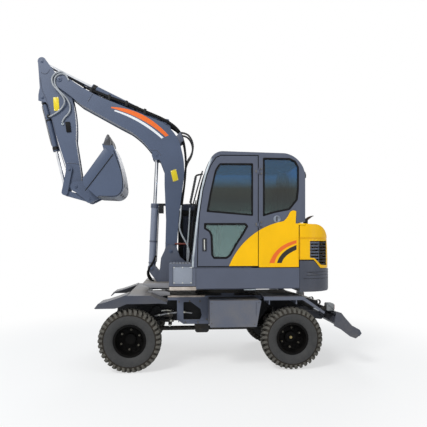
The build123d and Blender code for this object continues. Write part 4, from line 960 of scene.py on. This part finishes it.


# ======================== cab edges and screen
# Grey aluminium trim bonded down the rolled front edges, where the curved screen meets the posts; its light
# colour also paints the highlight that the rounded posts catch. Rubber seals hold the screen and the rear
# window. One wiper: a spring arm at the foot of the screen, with a rubber blade.
CAB_FRONT = [(-40, 1422), (-32, 1553), (-14, 1720), (16, 2001), (32, 2140), (52, 2290), (79, 2450),
             (110, 2590), (150, 2740), (188, 2840), (220, 2912)]
trim_metal = rough_metal("anodised_aluminium", "#b9c0c5", "#959da2", 0.35, 0.35, 0.6, 4.0, 0.05)
# The strip is pale both as trim and as a painted highlight on the posts' front edges.
highlight_trim_strip = [(x - 4, z) for x, z in CAB_FRONT] + [(x + 26, z - 2) for x, z in CAB_FRONT[::-1]]
plate_piece("screen_edge_highlight_trim", highlight_trim_strip, -938.5, 22, trim_metal, "upper", edge=5.0)
plate_piece("screen_edge_highlight_trim_right", highlight_trim_strip, -12, 22, trim_metal, "upper", edge=5.0)
screen_line = [(-33, 1600)] + [(x - 3, z) for x, z in CAB_FRONT if 1590 < z < 2880] + [(203, 2872)]
for number, y in enumerate((-878, -50)):
    hose(f"screen_seal_{number}", across_from(screen_line, y), 9, seal_rubber, "upper")
for name, x, z in (("screen_seal_low", -33, 1602), ("screen_seal_high", 203, 2872)):
    hose(name, [(x, y, z) for y in (-878, -460, -50)], 9, seal_rubber, "upper")
hose("rear_window_seal", [(1533, -848, 2500), (1533, -848, 2152), (1533, -464, 2152), (1533, -80, 2152),
                          (1533, -80, 2500)], 9, seal_rubber, "upper")
hose("wiper_arm", [(-16, -300, 1640), (-44, -318, 1662), (-38, -520, 1900), (-12, -600, 2080)], 7,
     black_paint, "upper")
hose("wiper_blade", [(-34, -640, 1790), (-20, -612, 2000), (8, -584, 2230), (30, -560, 2370)], 8, seal_rubber,
     "upper")


# ======================== cab post fittings
# Ribbed conduit sleeves, one on the grab rail and one up the post for the roof lamp's wires; a moulded
# latch at the roof's rear edge; and two plated screws in each leaf of the door's hinges.
HINGE_LEVELS = (1990, 2720)
ROOF_LATCH = [(1500, 2742), (1528, 2746), (1543, 2700), (1541, 2658), (1524, 2654), (1510, 2700)]
hose("grab_rail_sleeve", across_from([(-60, 2302), (-26, 2456), (14, 2662)], -900), 19, black_plastic,
     "upper", ribs=34)
hose("post_conduit", across_from([(-30, 2250), (14, 2420), (58, 2580), (106, 2740)], -906), 11, black_plastic,
     "upper", ribs=26)
plate_piece("roof_latch", ROOF_LATCH, -936, 30, black_plastic, "upper", corner=6, edge=3.0)
screw = screw_head([(0, 0), (0, 9), (2.4, 8.4), (4.6, 5.0), (5.2, 0)], 16)
for name, x, rises, body in (("door", 842, (10, 30), "door"), ("post", 914, (-12, 52), "upper")):
    places = [(x, -944.4, z + rise, (0, -1, 0)) for z in HINGE_LEVELS for rise in rises]
    spread(screw, places, f"hinge_screws_{name}", dusty_zinc, body)


# ======================== step box and deck
# Galvanised cover panel in the step box's recess, held by six screws; a worn aluminium edge bar under it,
# trodden pale, and a chequered tread on top. The deck's plates in front of the cab are trodden too.
SIDES = ((-1, "left"), (1, "right"))
TREAD_ROWS = 9
TREAD_COLUMNS = 7
TREAD_STEP = (43, 62)  # from stud to stud, along and across the machine
FIRST_STUD = (-325, -920, 1474.5)
APRON = [(-745, 1162), (-630, 1106), (-349, 1102), (-349, 1166), (-740, 1172)]
DECK_PLATE = [(-672, 1040), (-650, 1054), (-430, 1058), (-345, 1040), (-345, 1000), (-480, 990)]
DECK_EDGE = [(-376, 990), (170, 990), (150, 966), (-376, 966)]
panel_paint = sprayed_paint("weathered_panel_paint", "#8d939e", gloss=0.45, dust=0.8, coat=0.0)
trodden = rough_metal("trodden_aluminium", "#c4bab0", "#a3988c", 0.2, 0.5, 0.8, 9.0, 0.4)
trodden_paint = sprayed_paint("trodden_deck_paint", "#929295", gloss=0.5, dust=1.0, coat=0.0)
plate_piece("step_panel", rectangle(-297, 1198, -33, 1437), -939, 3, panel_paint, "upper", corner=10)
panel_places = [(x, -939, z, (0, -1, 0)) for x in (-280, -165, -50) for z in (1214, 1421)]
spread(screw, panel_places, "step_panel_screws", zinc, "upper")
remove(screw)
plate_piece("step_edge", rectangle(-344, 1114, 18, 1160), -949, 24, trodden, "upper", corner=3, edge=3.0)
stud = lone("cube", size=1)
edit()
bpy.ops.transform.resize(value=(0.03, 0.008, 0.004))
bpy.ops.mesh.bevel(offset=0.003, segments=2, affect="EDGES")
object_mode()
studs = []
for row in range(TREAD_ROWS):
    for column in range(TREAD_COLUMNS):
        turn = Matrix.Rotation(math.radians(45 if (row + column) % 2 else -45), 4, "Z")
        spot = at(FIRST_STUD[0] + TREAD_STEP[0] * column, FIRST_STUD[1] + TREAD_STEP[1] * row, FIRST_STUD[2])
        studs.append(copied(stud, spot @ turn))
remove(stud)
at_origin(joined(studs), "step_tread", panel_paint, "upper")
for side, name in SIDES:
    plate_piece(f"apron_{name}", APRON, -500 if side < 0 else 110, 390, trodden_paint, "upper", edge=2.0)
    plate_piece(f"front_deck_plate_{name}", DECK_PLATE, -500 if side < 0 else 330, 170, trodden_paint,
                "chassis", edge=2.0)
    plate_piece(f"deck_edge_{name}", DECK_EDGE, -486 if side < 0 else 480, 6, trodden, "chassis", edge=1.5)
plate_piece("drain_cover", rectangle(676, 1108, 842, 1120), -926, 60, trim_metal, "upper", edge=2.0)


# ======================== hoses
# High-pressure hoses in black ribbed guards run over the boom; some older lines are wrapped in pale nylon
# sleeve. A steel eye holds the end of one loop on the arm.
BOOM_BACK = [(-215, 3500), (-140, 3330), (-112, 3120), (-108, 2960), (-120, 2720), (-160, 2420), (-196, 2120),
             (-214, 1900)]
BOOM_TOP = [(-1551, 4094), (-1277, 3990), (-1018, 3903), (-741, 3786), (-500, 3692), (-330, 3600)]
KNEE_LOOP = [(-200, 3455), (-100, 3452), (-20, 3360), (8, 3240), (-22, 3110), (-86, 3020), (-122, 2880),
             (-130, 2640), (-176, 2420), (-190, 2300)]
pale_sleeve = moulded("nylon_hose_sleeve", "#a7abaf", "#83878b", 0.6, 0.8, 6.0, 0.4)
red_bar_paint = sprayed_paint("red_oxide_primer", "#6b2c22", gloss=0.5, dust=0.6, coat=0.0)
for number, y in enumerate((-84, -112, 84, 112)):
    outer = number % 2
    front = [(-1666, y, 4090), (-1640, y, 4120)]
    if outer:
        front = [(-1892, 1.25 * y, 4246), (-1850, 1.2 * y, 4236), (-1762, 1.1 * y, 4190), (-1655, y, 4126)]
    route = front + [(x, y, z - 26 * outer) for x, z in BOOM_TOP] + across_from(BOOM_BACK, y)
    hose(f"boom_top_hose_{number}", route, 16, seal_rubber, "boom", ribs=30)
for number, y in enumerate((-95, 95)):
    hose(f"knee_loop_{number}", across_from(KNEE_LOOP, y), 16, black_plastic, "boom", ribs=28)
for side, name in SIDES:
    plate_piece(f"knee_bracket_{name}", [(-190, 3462), (-330, 3322), (-262, 3240), (-140, 3330)],
                side * 128 - 6, 12, slate, "boom", corner=14, edge=2.0)
UPPER_HOSES = [  # name, radius, finish, pitch of the ribs, route
    ("swing_hose_0", 13, pale_sleeve, 0, [
        (-178, -152, 2330), (-196, -178, 2105), (-214, -190, 1983), (-160, -196, 1850), (-109, -200, 1771),
        (-60, -200, 1660), (-70, -200, 1500), (-110, -196, 1380), (-160, -190, 1240)]),
    ("swing_hose_1", 11, pale_sleeve, 0, [
        (-48, -196, 2290), (-60, -205, 2029), (-84, -205, 1740), (-93, -205, 1467), (-63, -205, 1376),
        (-20, -200, 1330)]),
    ("swing_hose_2", 14, seal_rubber, 26, [
        (-22, -180, 2260), (-36, -186, 2060), (-50, -190, 1760), (-44, -190, 1500)]),
    ("manifold_bar", 15, red_bar_paint, 0, [(-277, -150, 1742), (-27, -150, 1740)]),
    ("boom_cylinder_hose_0", 15, seal_rubber, 0, [
        (-571, -88, 1560), (-615, -96, 1447), (-681, -100, 1355), (-699, -100, 1278), (-660, -96, 1185),
        (-600, -90, 1178)]),
    ("boom_cylinder_hose_1", 15, seal_rubber, 0, [
        (-600, 88, 1600), (-640, 96, 1447), (-700, 100, 1330), (-690, 100, 1250), (-640, 96, 1180)]),
]
for name, radius, finish, ribs, route in UPPER_HOSES:
    hose(name, route, radius, finish, "upper", ribs=ribs)
ELBOW_HOSES = [  # name, route from the boom's head round its front to the arm
    ("elbow_hose_0", [(-1880, -150, 4240), (-1934, -156, 4312), (-1992, -158, 4322), (-2073, -160, 4290),
                      (-2118, -160, 4210), (-2094, -158, 4113), (-2007, -152, 4025), (-1940, -140, 3937),
                      (-1928, -124, 3877), (-1958, -110, 3815), (-2019, -104, 3747), (-2109, -100, 3688),
                      (-2171, -98, 3655)]),
    ("elbow_hose_1", [(-1866, -146, 4200), (-1906, -150, 4285), (-1979, -152, 4297), (-2045, -154, 4265),
                      (-2078, -154, 4198), (-2062, -152, 4113), (-2011, -146, 4039), (-1950, -138, 3984),
                      (-1890, -124, 3921), (-1856, -112, 3845), (-1852, -106, 3768), (-1885, -102, 3699),
                      (-1947, -100, 3646), (-1975, -98, 3580)]),
]
for name, route in ELBOW_HOSES:
    loop = hose(name, route, 12, pale_sleeve, None)
    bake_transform(loop)
eye = turned([(0, 9), (0, 17), (3, 20), (9, 20), (12, 17), (12, 9), (9, 7), (3, 7), (0, 9)], turns=24)
eye.data.transform(at(-1970, -99, 3556))
at_origin(eye, "hose_eye", trim_metal, "arm")
# A black rubber block on the arm's side, dark as painted shade over the bracket there.
plate_piece("hose_clamp_block_painted_shade", [(-1934, 3588), (-1862, 3590), (-1842, 3438), (-1912, 3430)], -101, 16,
            seal_rubber, "arm", corner=10, edge=3.0)
plate_piece("hose_clip", [(-2200, 3690), (-2160, 3692), (-2154, 3640), (-2194, 3636)], -108, 24, black_paint,
            "arm", corner=6, edge=2.0)


# ======================== pins
# Turned steel pins end in a flanged cap with a grease nipple, painted with the digging gear. The cap's scale
# follows the size of its pin.
pin_cap = screw_head([(-2, 0), (-2, 30), (4, 30), (7, 27), (8, 14), (12, 13), (12, 0)], 32)
nipple = screw_head([(11, 0), (11, 5), (15, 5), (17, 3), (20, 4), (22, 2.6), (23, 0)], 12)
pin_cap = joined([pin_cap, nipple])
PINS = [  # name, centre, half width at the cap, body, scale
    ("arm_pin", (-2006, 4216), 140, "boom", 1.35),
    ("boom_foot_pin", (-339, 1631), 205, "upper", 1.05),
    ("boom_cylinder_pin", (-556, 3095), 140, "boom", 0.85),
    ("boom_cylinder_foot_pin", (-633, 1367), 100, "upper", 0.85),
    ("arm_cylinder_pin", (-417, 3604), 96, "boom", 0.85),
    ("arm_cylinder_rod_pin", (-2279, 4499), 85, "arm", 0.85),
    ("bucket_cylinder_pin", (-2271, 3956), 93, "arm", 0.75),
    ("side_link_pin", (-1867, 2869), 122, "arm", 0.75),
    ("bucket_pin", (-1768, 2606), 126, "arm", 0.85),
    ("bucket_link_pin", (-1566, 2426), 122, "bucket", 0.85),
]
for name, (x, z), half, body, scale in PINS:
    caps = []
    for side in (-1, 1):
        caps.append(copied(pin_cap, at(x, side * half, z) @ facing((0, side, 0)) @ Matrix.Scale(scale, 4)))
    at_origin(joined(caps), name + "_caps", sky_tinted_slate, body)
remove(pin_cap)


# ======================== cylinders
# Each has a screwed gland with a wiper seal at the rod end, a welded base collar, a clamp band, and a steel
# line strapped along its barrel from port to port.
CYLINDERS = [  # name, base pin, rod eye, barrel radius, barrel length, rod radius
    ("boom", (-633, 1367), (-556, 3095), 55, 1000, 27),
    ("arm", (-417, 3604), (-2279, 4499), 52, 1250, 27),
    ("bucket", (-2271, 3956), (-1935, 2523), 43, 820, 24),
]
for name, base, eye, radius, length, rod_radius in CYLINDERS:
    along = Vector((eye[0] - base[0], 0, eye[1] - base[1])).normalized()
    across = Vector((0, -1, 0)).cross(along)
    start = Vector((base[0], 0, base[1]))
    turn = Matrix((-across, along, Vector((0, 1, 0)))).transposed().to_4x4()
    gland = turned([(length - 66, radius), (length - 66, radius + 7), (length - 12, radius + 7),
                    (length - 8, radius + 4), (length - 8, radius - 4), (length + 1, radius - 6),
                    (length + 1, rod_radius + 8), (length + 5, rod_radius + 5),
                    (length + 5, rod_radius + 0.6), (length - 20, rod_radius + 0.6)], turns=48)
    collar = turned([(70, radius), (70, radius + 4), (92, radius + 4), (96, radius)], turns=48)
    middle = length * 0.4
    band = turned([(middle, radius), (middle, radius + 4), (middle + 26, radius + 4), (middle + 26, radius)],
                  turns=48)
    rings = joined([gland, collar, band])
    rings.data.transform(Matrix.Translation(start / 1000) @ turn)
    at_origin(rings, f"{name}_cylinder_rings", slate if name == "boom" else black_paint, f"{name}_barrel")
    away = across * (1 if name == "arm" else -1)
    low = start + along * 120 + away * (radius + 10)
    top = start + along * (length - 90) + away * (radius + 10)
    route = [start + along * 96 + away * (radius - 4), start + along * 104 + away * (radius + 10), low,
             (low + top) / 2, top, start + along * (length - 90) + away * (radius - 4)]
    hose(f"{name}_cylinder_line", route, 8, machined, f"{name}_barrel")


# ======================== weld beads
# Where ears and flanges meet the plates of boom and arm there are rows of overlapping ripples, laid by hand
# and painted over.
WELDS = [  # name, face, route on the face, body
    ("boom_head_weld", -141, [(-1509, 4020), (-1545, 3950), (-1591, 3885)], "boom"),
    ("boom_foot_weld", -141, [(-424, 1760), (-370, 1726), (-300, 1722), (-246, 1755)], "boom"),
    ("knee_ear_weld", -141, [(-640, 3172), (-586, 3176), (-520, 3150), (-490, 3090)], "boom"),
    ("arm_ear_weld", -86, [(-2290, 4330), (-2240, 4300), (-2180, 4330), (-2160, 4380)], "arm"),
    ("arm_foot_weld", -86, [(-1920, 2960), (-1850, 2966), (-1780, 2960), (-1728, 2950)], "arm"),
    ("arm_seam_weld", -86, [(-2300, 4250), (-2290, 4080), (-2215, 3943), (-2130, 3640), (-2040, 3240),
                            (-1930, 2900)], "arm"),
]
for name, y, route, body in WELDS:
    hose(name, across_from(route, y), 5.5, slate, body, ribs=9)


# ======================== bucket wear parts
# Bolted side cutters, welded seams, five tooth tips held by driven pins, and skids on the heel. Steel that
# digs is bare and dark; the rest is painted.
SIDE_CUTTER = [(-1190, 3058), (-1300, 3160), (-1628, 2701), (-1600, 2600), (-1560, 2560)]
BUCKET_SEAM = [(-1185, 3064), (-1380, 2796), (-1588, 2522)]
BUCKET_RIM = [(-1176, 3120), (-1084, 2880), (-1042, 2700), (-1046, 2540), (-1110, 2456), (-1200, 2440),
              (-1400, 2446)]
TOOTH = [(-1330, 3196), (-1300, 3300), (-1268, 3358), (-1244, 3352), (-1226, 3290), (-1216, 3188)]
HEEL_SKID = [(-1440, 2436), (-1180, 2426), (-1070, 2470), (-1024, 2600), (-1040, 2700), (-1052, 2600),
             (-1092, 2486), (-1180, 2440), (-1430, 2450)]
worn_steel = rough_metal("worn_digging_steel", "#4b4c50", "#2e2b29", 0.7, 0.35, 0.7, 9.0, 0.25)
for side, name in SIDES:
    plate_piece(f"side_cutter_{name}", SIDE_CUTTER, 325 if side > 0 else -331, 6, sky_tinted_slate, "bucket",
                corner=8, edge=1.5)
    hose(f"bucket_seam_{name}", across_from(BUCKET_SEAM, side * 329), 6, black_paint, "bucket")
    hose(f"bucket_rim_weld_{name}", across_from(BUCKET_RIM, side * 322), 7, black_paint, "bucket",
         11)
tooth = plate(TOOTH, -36, 72, edge=5.0)
teeth = [copied(tooth, at(0, 145 * number, 0)) for number in range(-2, 3)]
remove(tooth)
at_origin(joined(teeth), "tooth_tips", worn_steel, "bucket")
skids = [plate(HEEL_SKID, y, 40, edge=2.0) for y in (-215, -20, 175)]
at_origin(joined(skids), "heel_skids", worn_steel, "bucket")


# ======================== carrier fittings
# Plated hexagon bolts hold the gussets, the boxes and the slewing ring. The axle valve block behind the front
# wheel has plated fittings and pipes that feed the steering and brakes, on a folded bracket.
GUSSET_BOLTS = [(-215, 900), (-60, 906), (90, 904), (-120, 600), (60, 600), (190, 640)]
BOX_BOLTS = [(232, 660), (232, 930), (820, 640), (880, 940)]
AXLE_BENDS = [(-520, -430, 640), (-500, -360, 600), (-480, -380, 820)]
RING_X = 500
RING_BOLT_R = 452
RING_BOLTS = 30
bolt = hexagon(22, 9)
places = [(x, side * 480, z, (0, side, 0)) for side in (-1, 1) for x, z in GUSSET_BOLTS]
spread(bolt, places, "gusset_bolts", dusty_zinc, "chassis")
places = []
for number in range(RING_BOLTS):
    turn = 2 * math.pi * number / RING_BOLTS
    places.append((RING_X + RING_BOLT_R * math.cos(turn), RING_BOLT_R * math.sin(turn), 985, (0, 0, 1)))
spread(bolt, places, "slew_ring_bolts", dusty_zinc, "chassis")
small = hexagon(12, 4)
places = [(227, side * 944.5, 794, (0, side, 0)) for side in (-1, 1)]
places += [(x, side * 944.5, z, (0, side, 0)) for side in (-1, 1) for x, z in BOX_BOLTS]
spread(small, places, "box_bolts", dusty_zinc, "chassis")
VALVE_PIPES = [  # radius, finish, route
    (15, machined, [(-560, -470, 700), (-489, -480, 711), (-400, -480, 730), (-330, -480, 738),
                    (-250, -470, 744)]),
    (11, zinc, [(-470, -478, 770), (-417, -480, 783), (-350, -478, 776), (-300, -440, 760)]),
    (13, machined, [(-244, -462, 757), (-150, -464, 748), (-60, -462, 736), (-25, -452, 731)]),
]
for number, (radius, finish, route) in enumerate(VALVE_PIPES):
    hose(f"valve_pipe_{number}", route, radius, finish, "chassis")
plate_piece("valve_block", [(-440, 684), (-300, 684), (-300, 766), (-380, 790), (-440, 766)], -470, 110,
            cast_iron, "chassis", corner=8, edge=4.0)
hangers = [
    plate([(-360, 690), (-320, 690), (-316, 560), (-350, 524), (-372, 560)], -420, 60, corner=6, edge=3.0),
    plate([(-430, 640), (-300, 640), (-290, 600), (-425, 600)], -440, 90, corner=6, edge=3.0),
]
at_origin(joined(hangers), "valve_bracket", black_paint, "chassis")
large = hexagon(30, 26)
places = [(-489, -480, 711, (-1, 0, 0.1)), (-347, -420, 549, (0, -1, 0)), (-332, -420, 620, (0, -1, 0)),
          (-380, -480, 731, (1, 0, 0.1)), (-150, -464, 748, (1, 0, -0.1))]
spread(large, places, "valve_nuts", zinc, "chassis")
for number, (x, y, z) in enumerate(AXLE_BENDS):
    route = [(-430, y, 720), (x, y - 10, z), (x - 80, y - 20, z + 30), (-700, y, 560 + 60 * number),
             (-790, -330, 520 + 50 * number)]
    hose(f"axle_hose_{number}", route, 12, seal_rubber, "chassis")
remove(bolt, small, large)


# ======================== rear lamps
# Lamp units on brackets at the ends of the rear guards: grey moulded housings with bare amber and red lenses.
# Nothing is written on the lenses.
lens_red = moulded("red_lens_acrylic", "#8c1512", "#a8231b", 0.08, 0.15, 5.0, 0.02)
lens_amber = moulded("amber_lens_acrylic", "#c46a12", "#d97d1c", 0.08, 0.15, 5.0, 0.02)
lamp_grey = moulded("grey_lamp_housing", "#7d7f80", "#5d5f60", 0.4, 0.6, 3.0, 0.1)
LAMP_HOUSING = [(1870, 800), (1966, 800), (1974, 812), (1974, 888), (1960, 904), (1880, 904), (1868, 890)]
LAMP_BRACKET = [(1784, 800), (1806, 786), (1880, 820), (1880, 868), (1860, 868)]
LAMP_LENS = [(1973, 812), (1982, 816), (1982, 884), (1973, 888)]
LAMP_Y = 780  # the lamps' middle
LAMP_WIDTH = 116
LENSES = [  # colour, where it starts and its width, finish
    ("red", 0, 54, lens_red),
    ("amber", 60, 44, lens_amber),
]
for side, name in SIDES:
    y = side * LAMP_Y - LAMP_WIDTH / 2
    plate_piece(f"rear_lamp_{name}", LAMP_HOUSING, y, LAMP_WIDTH, lamp_grey, "chassis", corner=10, edge=5.0)
    plate_piece(f"rear_lamp_bracket_{name}", LAMP_BRACKET, y + 40, 36, black_paint, "chassis", corner=6,
                edge=2.0)
    for colour, low, width, finish in LENSES:
        plate_piece(f"rear_lens_{colour}_{name}", LAMP_LENS, y + 6 + low, width, finish, "chassis", corner=3,
                    edge=3.0)


# ======================== exhaust tip
# The exhaust ends in a flattened, raked tip of mild steel browned by heat: a pipe squeezed in five steps and
# smoothed.
EXHAUST_Y = -560
TIP_RAKE = 6  # how much lower the rear of each step is
TIP_STEPS = [  # x, z, half length, half width
    (1640, 2084, 30, 30),
    (1648, 2100, 32, 30),
    (1672, 2118, 34, 28),
    (1716, 2150, 26, 34),
    (1762, 2160, 12, 42),
]
burnt = rough_metal("heat_browned_steel", "#3b3632", "#5b4535", 0.6, 0.4, 0.7, 4.0, 0.15)
sections = []
for x, z, half_x, half_y in TIP_STEPS:
    front, rear = x - half_x, x + half_x
    left, right = EXHAUST_Y - half_y, EXHAUST_Y + half_y
    low = z - TIP_RAKE
    corners = [(front, left, z), (rear, left, low), (front, right, z), (rear, right, low)]
    sections.append([Vector(corner) / 1000 for corner in corners])
exhaust = bar(sections)
change(exhaust, "SUBSURF", levels=2, render_levels=2)
bpy.ops.object.shade_smooth()
at_origin(exhaust, "exhaust_tip", burnt, "hood")


# ======================== right side and roof
# Sheet doors over the tank and pumps, with pressed louvres, a rubber seam, black compression latches and a
# screwed fuel cap; a bent-tube rail guards the top. The roof has a moulded hatch, the cover's corner a lamp.
DOORS = [  # name, outline
    ("tank_door", rectangle(-170, 1480, 420, 2190)),
    ("cooler_door", rectangle(450, 1480, 850, 2190)),
    ("pump_door", rectangle(915, 1470, 1400, 1990)),
]
TANK_RAIL = [(-150, 2280), (-150, 2360), (-150, 2420), (-90, 2436), (200, 2436), (560, 2436), (620, 2420),
             (620, 2360), (620, 2280)]
ROOF_HATCH = [(600, 3001), (1080, 2993), (1080, 3014), (1066, 3024), (614, 3032), (600, 3022)]


def louvres(name, low, high, levels, material):
    """Level louvres: shallow wedges of sheet, one above another, on the right side."""
    slats = [plate(rectangle(low, z, high, z + 18), 939, 6, corner=5, edge=2.4) for z in levels]
    at_origin(joined(slats), name, material, "upper")


for name, points in DOORS:
    at_origin(ring(points, 938.5, 3.5, 7, corner=24), f"{name}_seam", seal_rubber, "upper")
louvres("cooler_louvres", 500, 800, [1800 + 34 * row for row in range(10)], slate)
louvres("pump_louvres", 980, 1330, [1560 + 34 * row for row in range(5)], yellow)
for name, x, z in (("tank", 370, 1830), ("cooler", 478, 1640), ("pump", 1360, 1740)):
    plate_piece(f"{name}_latch", rectangle(x - 20, z - 36, x + 20, z + 36), 939, 8, black_plastic, "upper",
                corner=10, edge=2.5)
fuel_cap = screw_head([(0, 0), (0, 62), (10, 62), (14, 56), (14, 50), (34, 48), (40, 42), (42, 0)], 48)
fuel_cap.data.transform(at(-120, 640, 2284))
at_origin(fuel_cap, "fuel_cap", black_plastic, "upper")
hose("tank_rail", across_from(TANK_RAIL, 915), 13, black_paint, "upper")
plate_piece("roof_hatch", ROOF_HATCH, -700, 470, slate, "upper", corner=4, edge=8.0)
lens = screw_head([(0, 0), (0, 44), (4, 46), (7, 40), (9, 20), (10, 0)], 40)
clear = rough_metal("silvered_reflector_glass", "#e8ebee", "#c9ced2", 0.9, 0.05, 0.15, 6.0, 0.3)
spread(lens, [(-561, 825, 2335, (-1, 0, 0))], "work_lamp_lens", clear, "upper")
remove(lens)


# ======================== hood back
# The hood's rear face leans forward towards its top. It has a row of pressed louvres, and a flush pull latch
# that frees it.
HOOD_FOOT = (1955, 1380)  # x and z of the face's lower edge
HOOD_LEAN = 63  # how far forward the face comes over its height
HOOD_RISE = 452


def hood_back(z):
    """How far back the hood's rear face stands at a height."""
    return HOOD_FOOT[0] - (z - HOOD_FOOT[1]) / HOOD_RISE * HOOD_LEAN


slats = []
for z in range(1600, 1780, 30):
    slat = [(hood_back(z) - 2, z), (hood_back(z) + 8, z + 3), (hood_back(z + 20), z + 20)]
    slats.append(plate(slat, -300, 600))
at_origin(joined(slats), "hood_louvres", yellow, "hood")
hood_latch = [(hood_back(1545) - 4, 1545), (hood_back(1545) + 14, 1549), (hood_back(1585) + 12, 1583),
              (hood_back(1590) - 4, 1590)]
plate_piece("hood_latch", hood_latch, -55, 110, black_plastic, "hood", corner=4, edge=4.0)


# ======================== tail and blade
# Red reflectors and two large bolts on the counterweight; a row of bolts through the blade's cutting edge;
# short rubber hoses to the blade cylinders and the brakes.
for side, name in SIDES:
    plate_piece(f"tail_reflector_{name}", [(1978, 1190), (1985, 1192), (1985, 1238), (1978, 1240)],
                side * 350 - 60, 120, lens_red, "upper", corner=2, edge=2.0)
weight_bolt = hexagon(46, 16)
weight_places = [(1978, y, 1350, (1, 0, 0)) for y in (-180, 180)]
spread(weight_bolt, weight_places, "counterweight_bolts", dusty_zinc, "upper")
blade_bolt = hexagon(26, 7)
edge_places = [(2303, y, 509, (0.7, 0, 0.72)) for y in range(-840, 900, 140)]
spread(blade_bolt, edge_places, "cutting_edge_bolts", worn_steel, "blade")
remove(weight_bolt, blade_bolt)
for side, name in SIDES:
    hose(f"blade_hose_{name}", [(1290, side * 300, 880), (1360, side * 340, 930), (1430, side * 380, 968),
                                (1490, side * 400, 992), (1530, side * 400, 974)], 10, seal_rubber, "chassis")
    hose(f"brake_hose_{name}", [(-700, side * 200, 620), (-760, side * 260, 600), (-800, side * 330, 560),
                                (-840, side * 420, 530)], 9, seal_rubber, "chassis")


# ======================== hose saddles
# Bent steel saddles strap the pairs of hoses to the boom's top, at the first four points of their run. They
# are painted black and screwed down.
saddles = []
for x, z in BOOM_TOP[:4]:
    strap = [(x - 16, z - 60), (x + 22, z - 72), (x + 34, z + 10), (x - 4, z + 24)]
    saddles += [plate(strap, y, 66, corner=5, edge=2.0) for y in (-132, 66)]
at_origin(joined(saddles), "hose_saddles", black_paint, "boom")


# ======================== cab interior
# Ribbed rubber gaiters and moulded knobs on the two levers, a bare-faced monitor, and rubber-faced pedals
# on the floor, placed either side of the middle of the seat.
for side, name in SIDES:
    y = SEAT_Y + side * 315
    hose(f"lever_gaiter_{name}", across_from([(760, 2084), (760, 2120), (760, 2160)], y), 34, seal_rubber,
         "upper", ribs=16)
    hose(f"lever_knob_{name}", across_from([(760, 2216), (756, 2244), (750, 2270)], y), 24, black_plastic,
         "upper")
    plate_piece(f"pedal_{name}", [(150, 1482), (160, 1474), (262, 1534), (252, 1546)],
                SEAT_Y + side * 90 - 45, 90, seal_rubber, "upper", edge=3.0)
plate_piece("monitor", [(640, 2120), (700, 2110), (716, 2250), (656, 2262)], -170, 130, black_plastic,
            "upper", corner=10, edge=5.0)
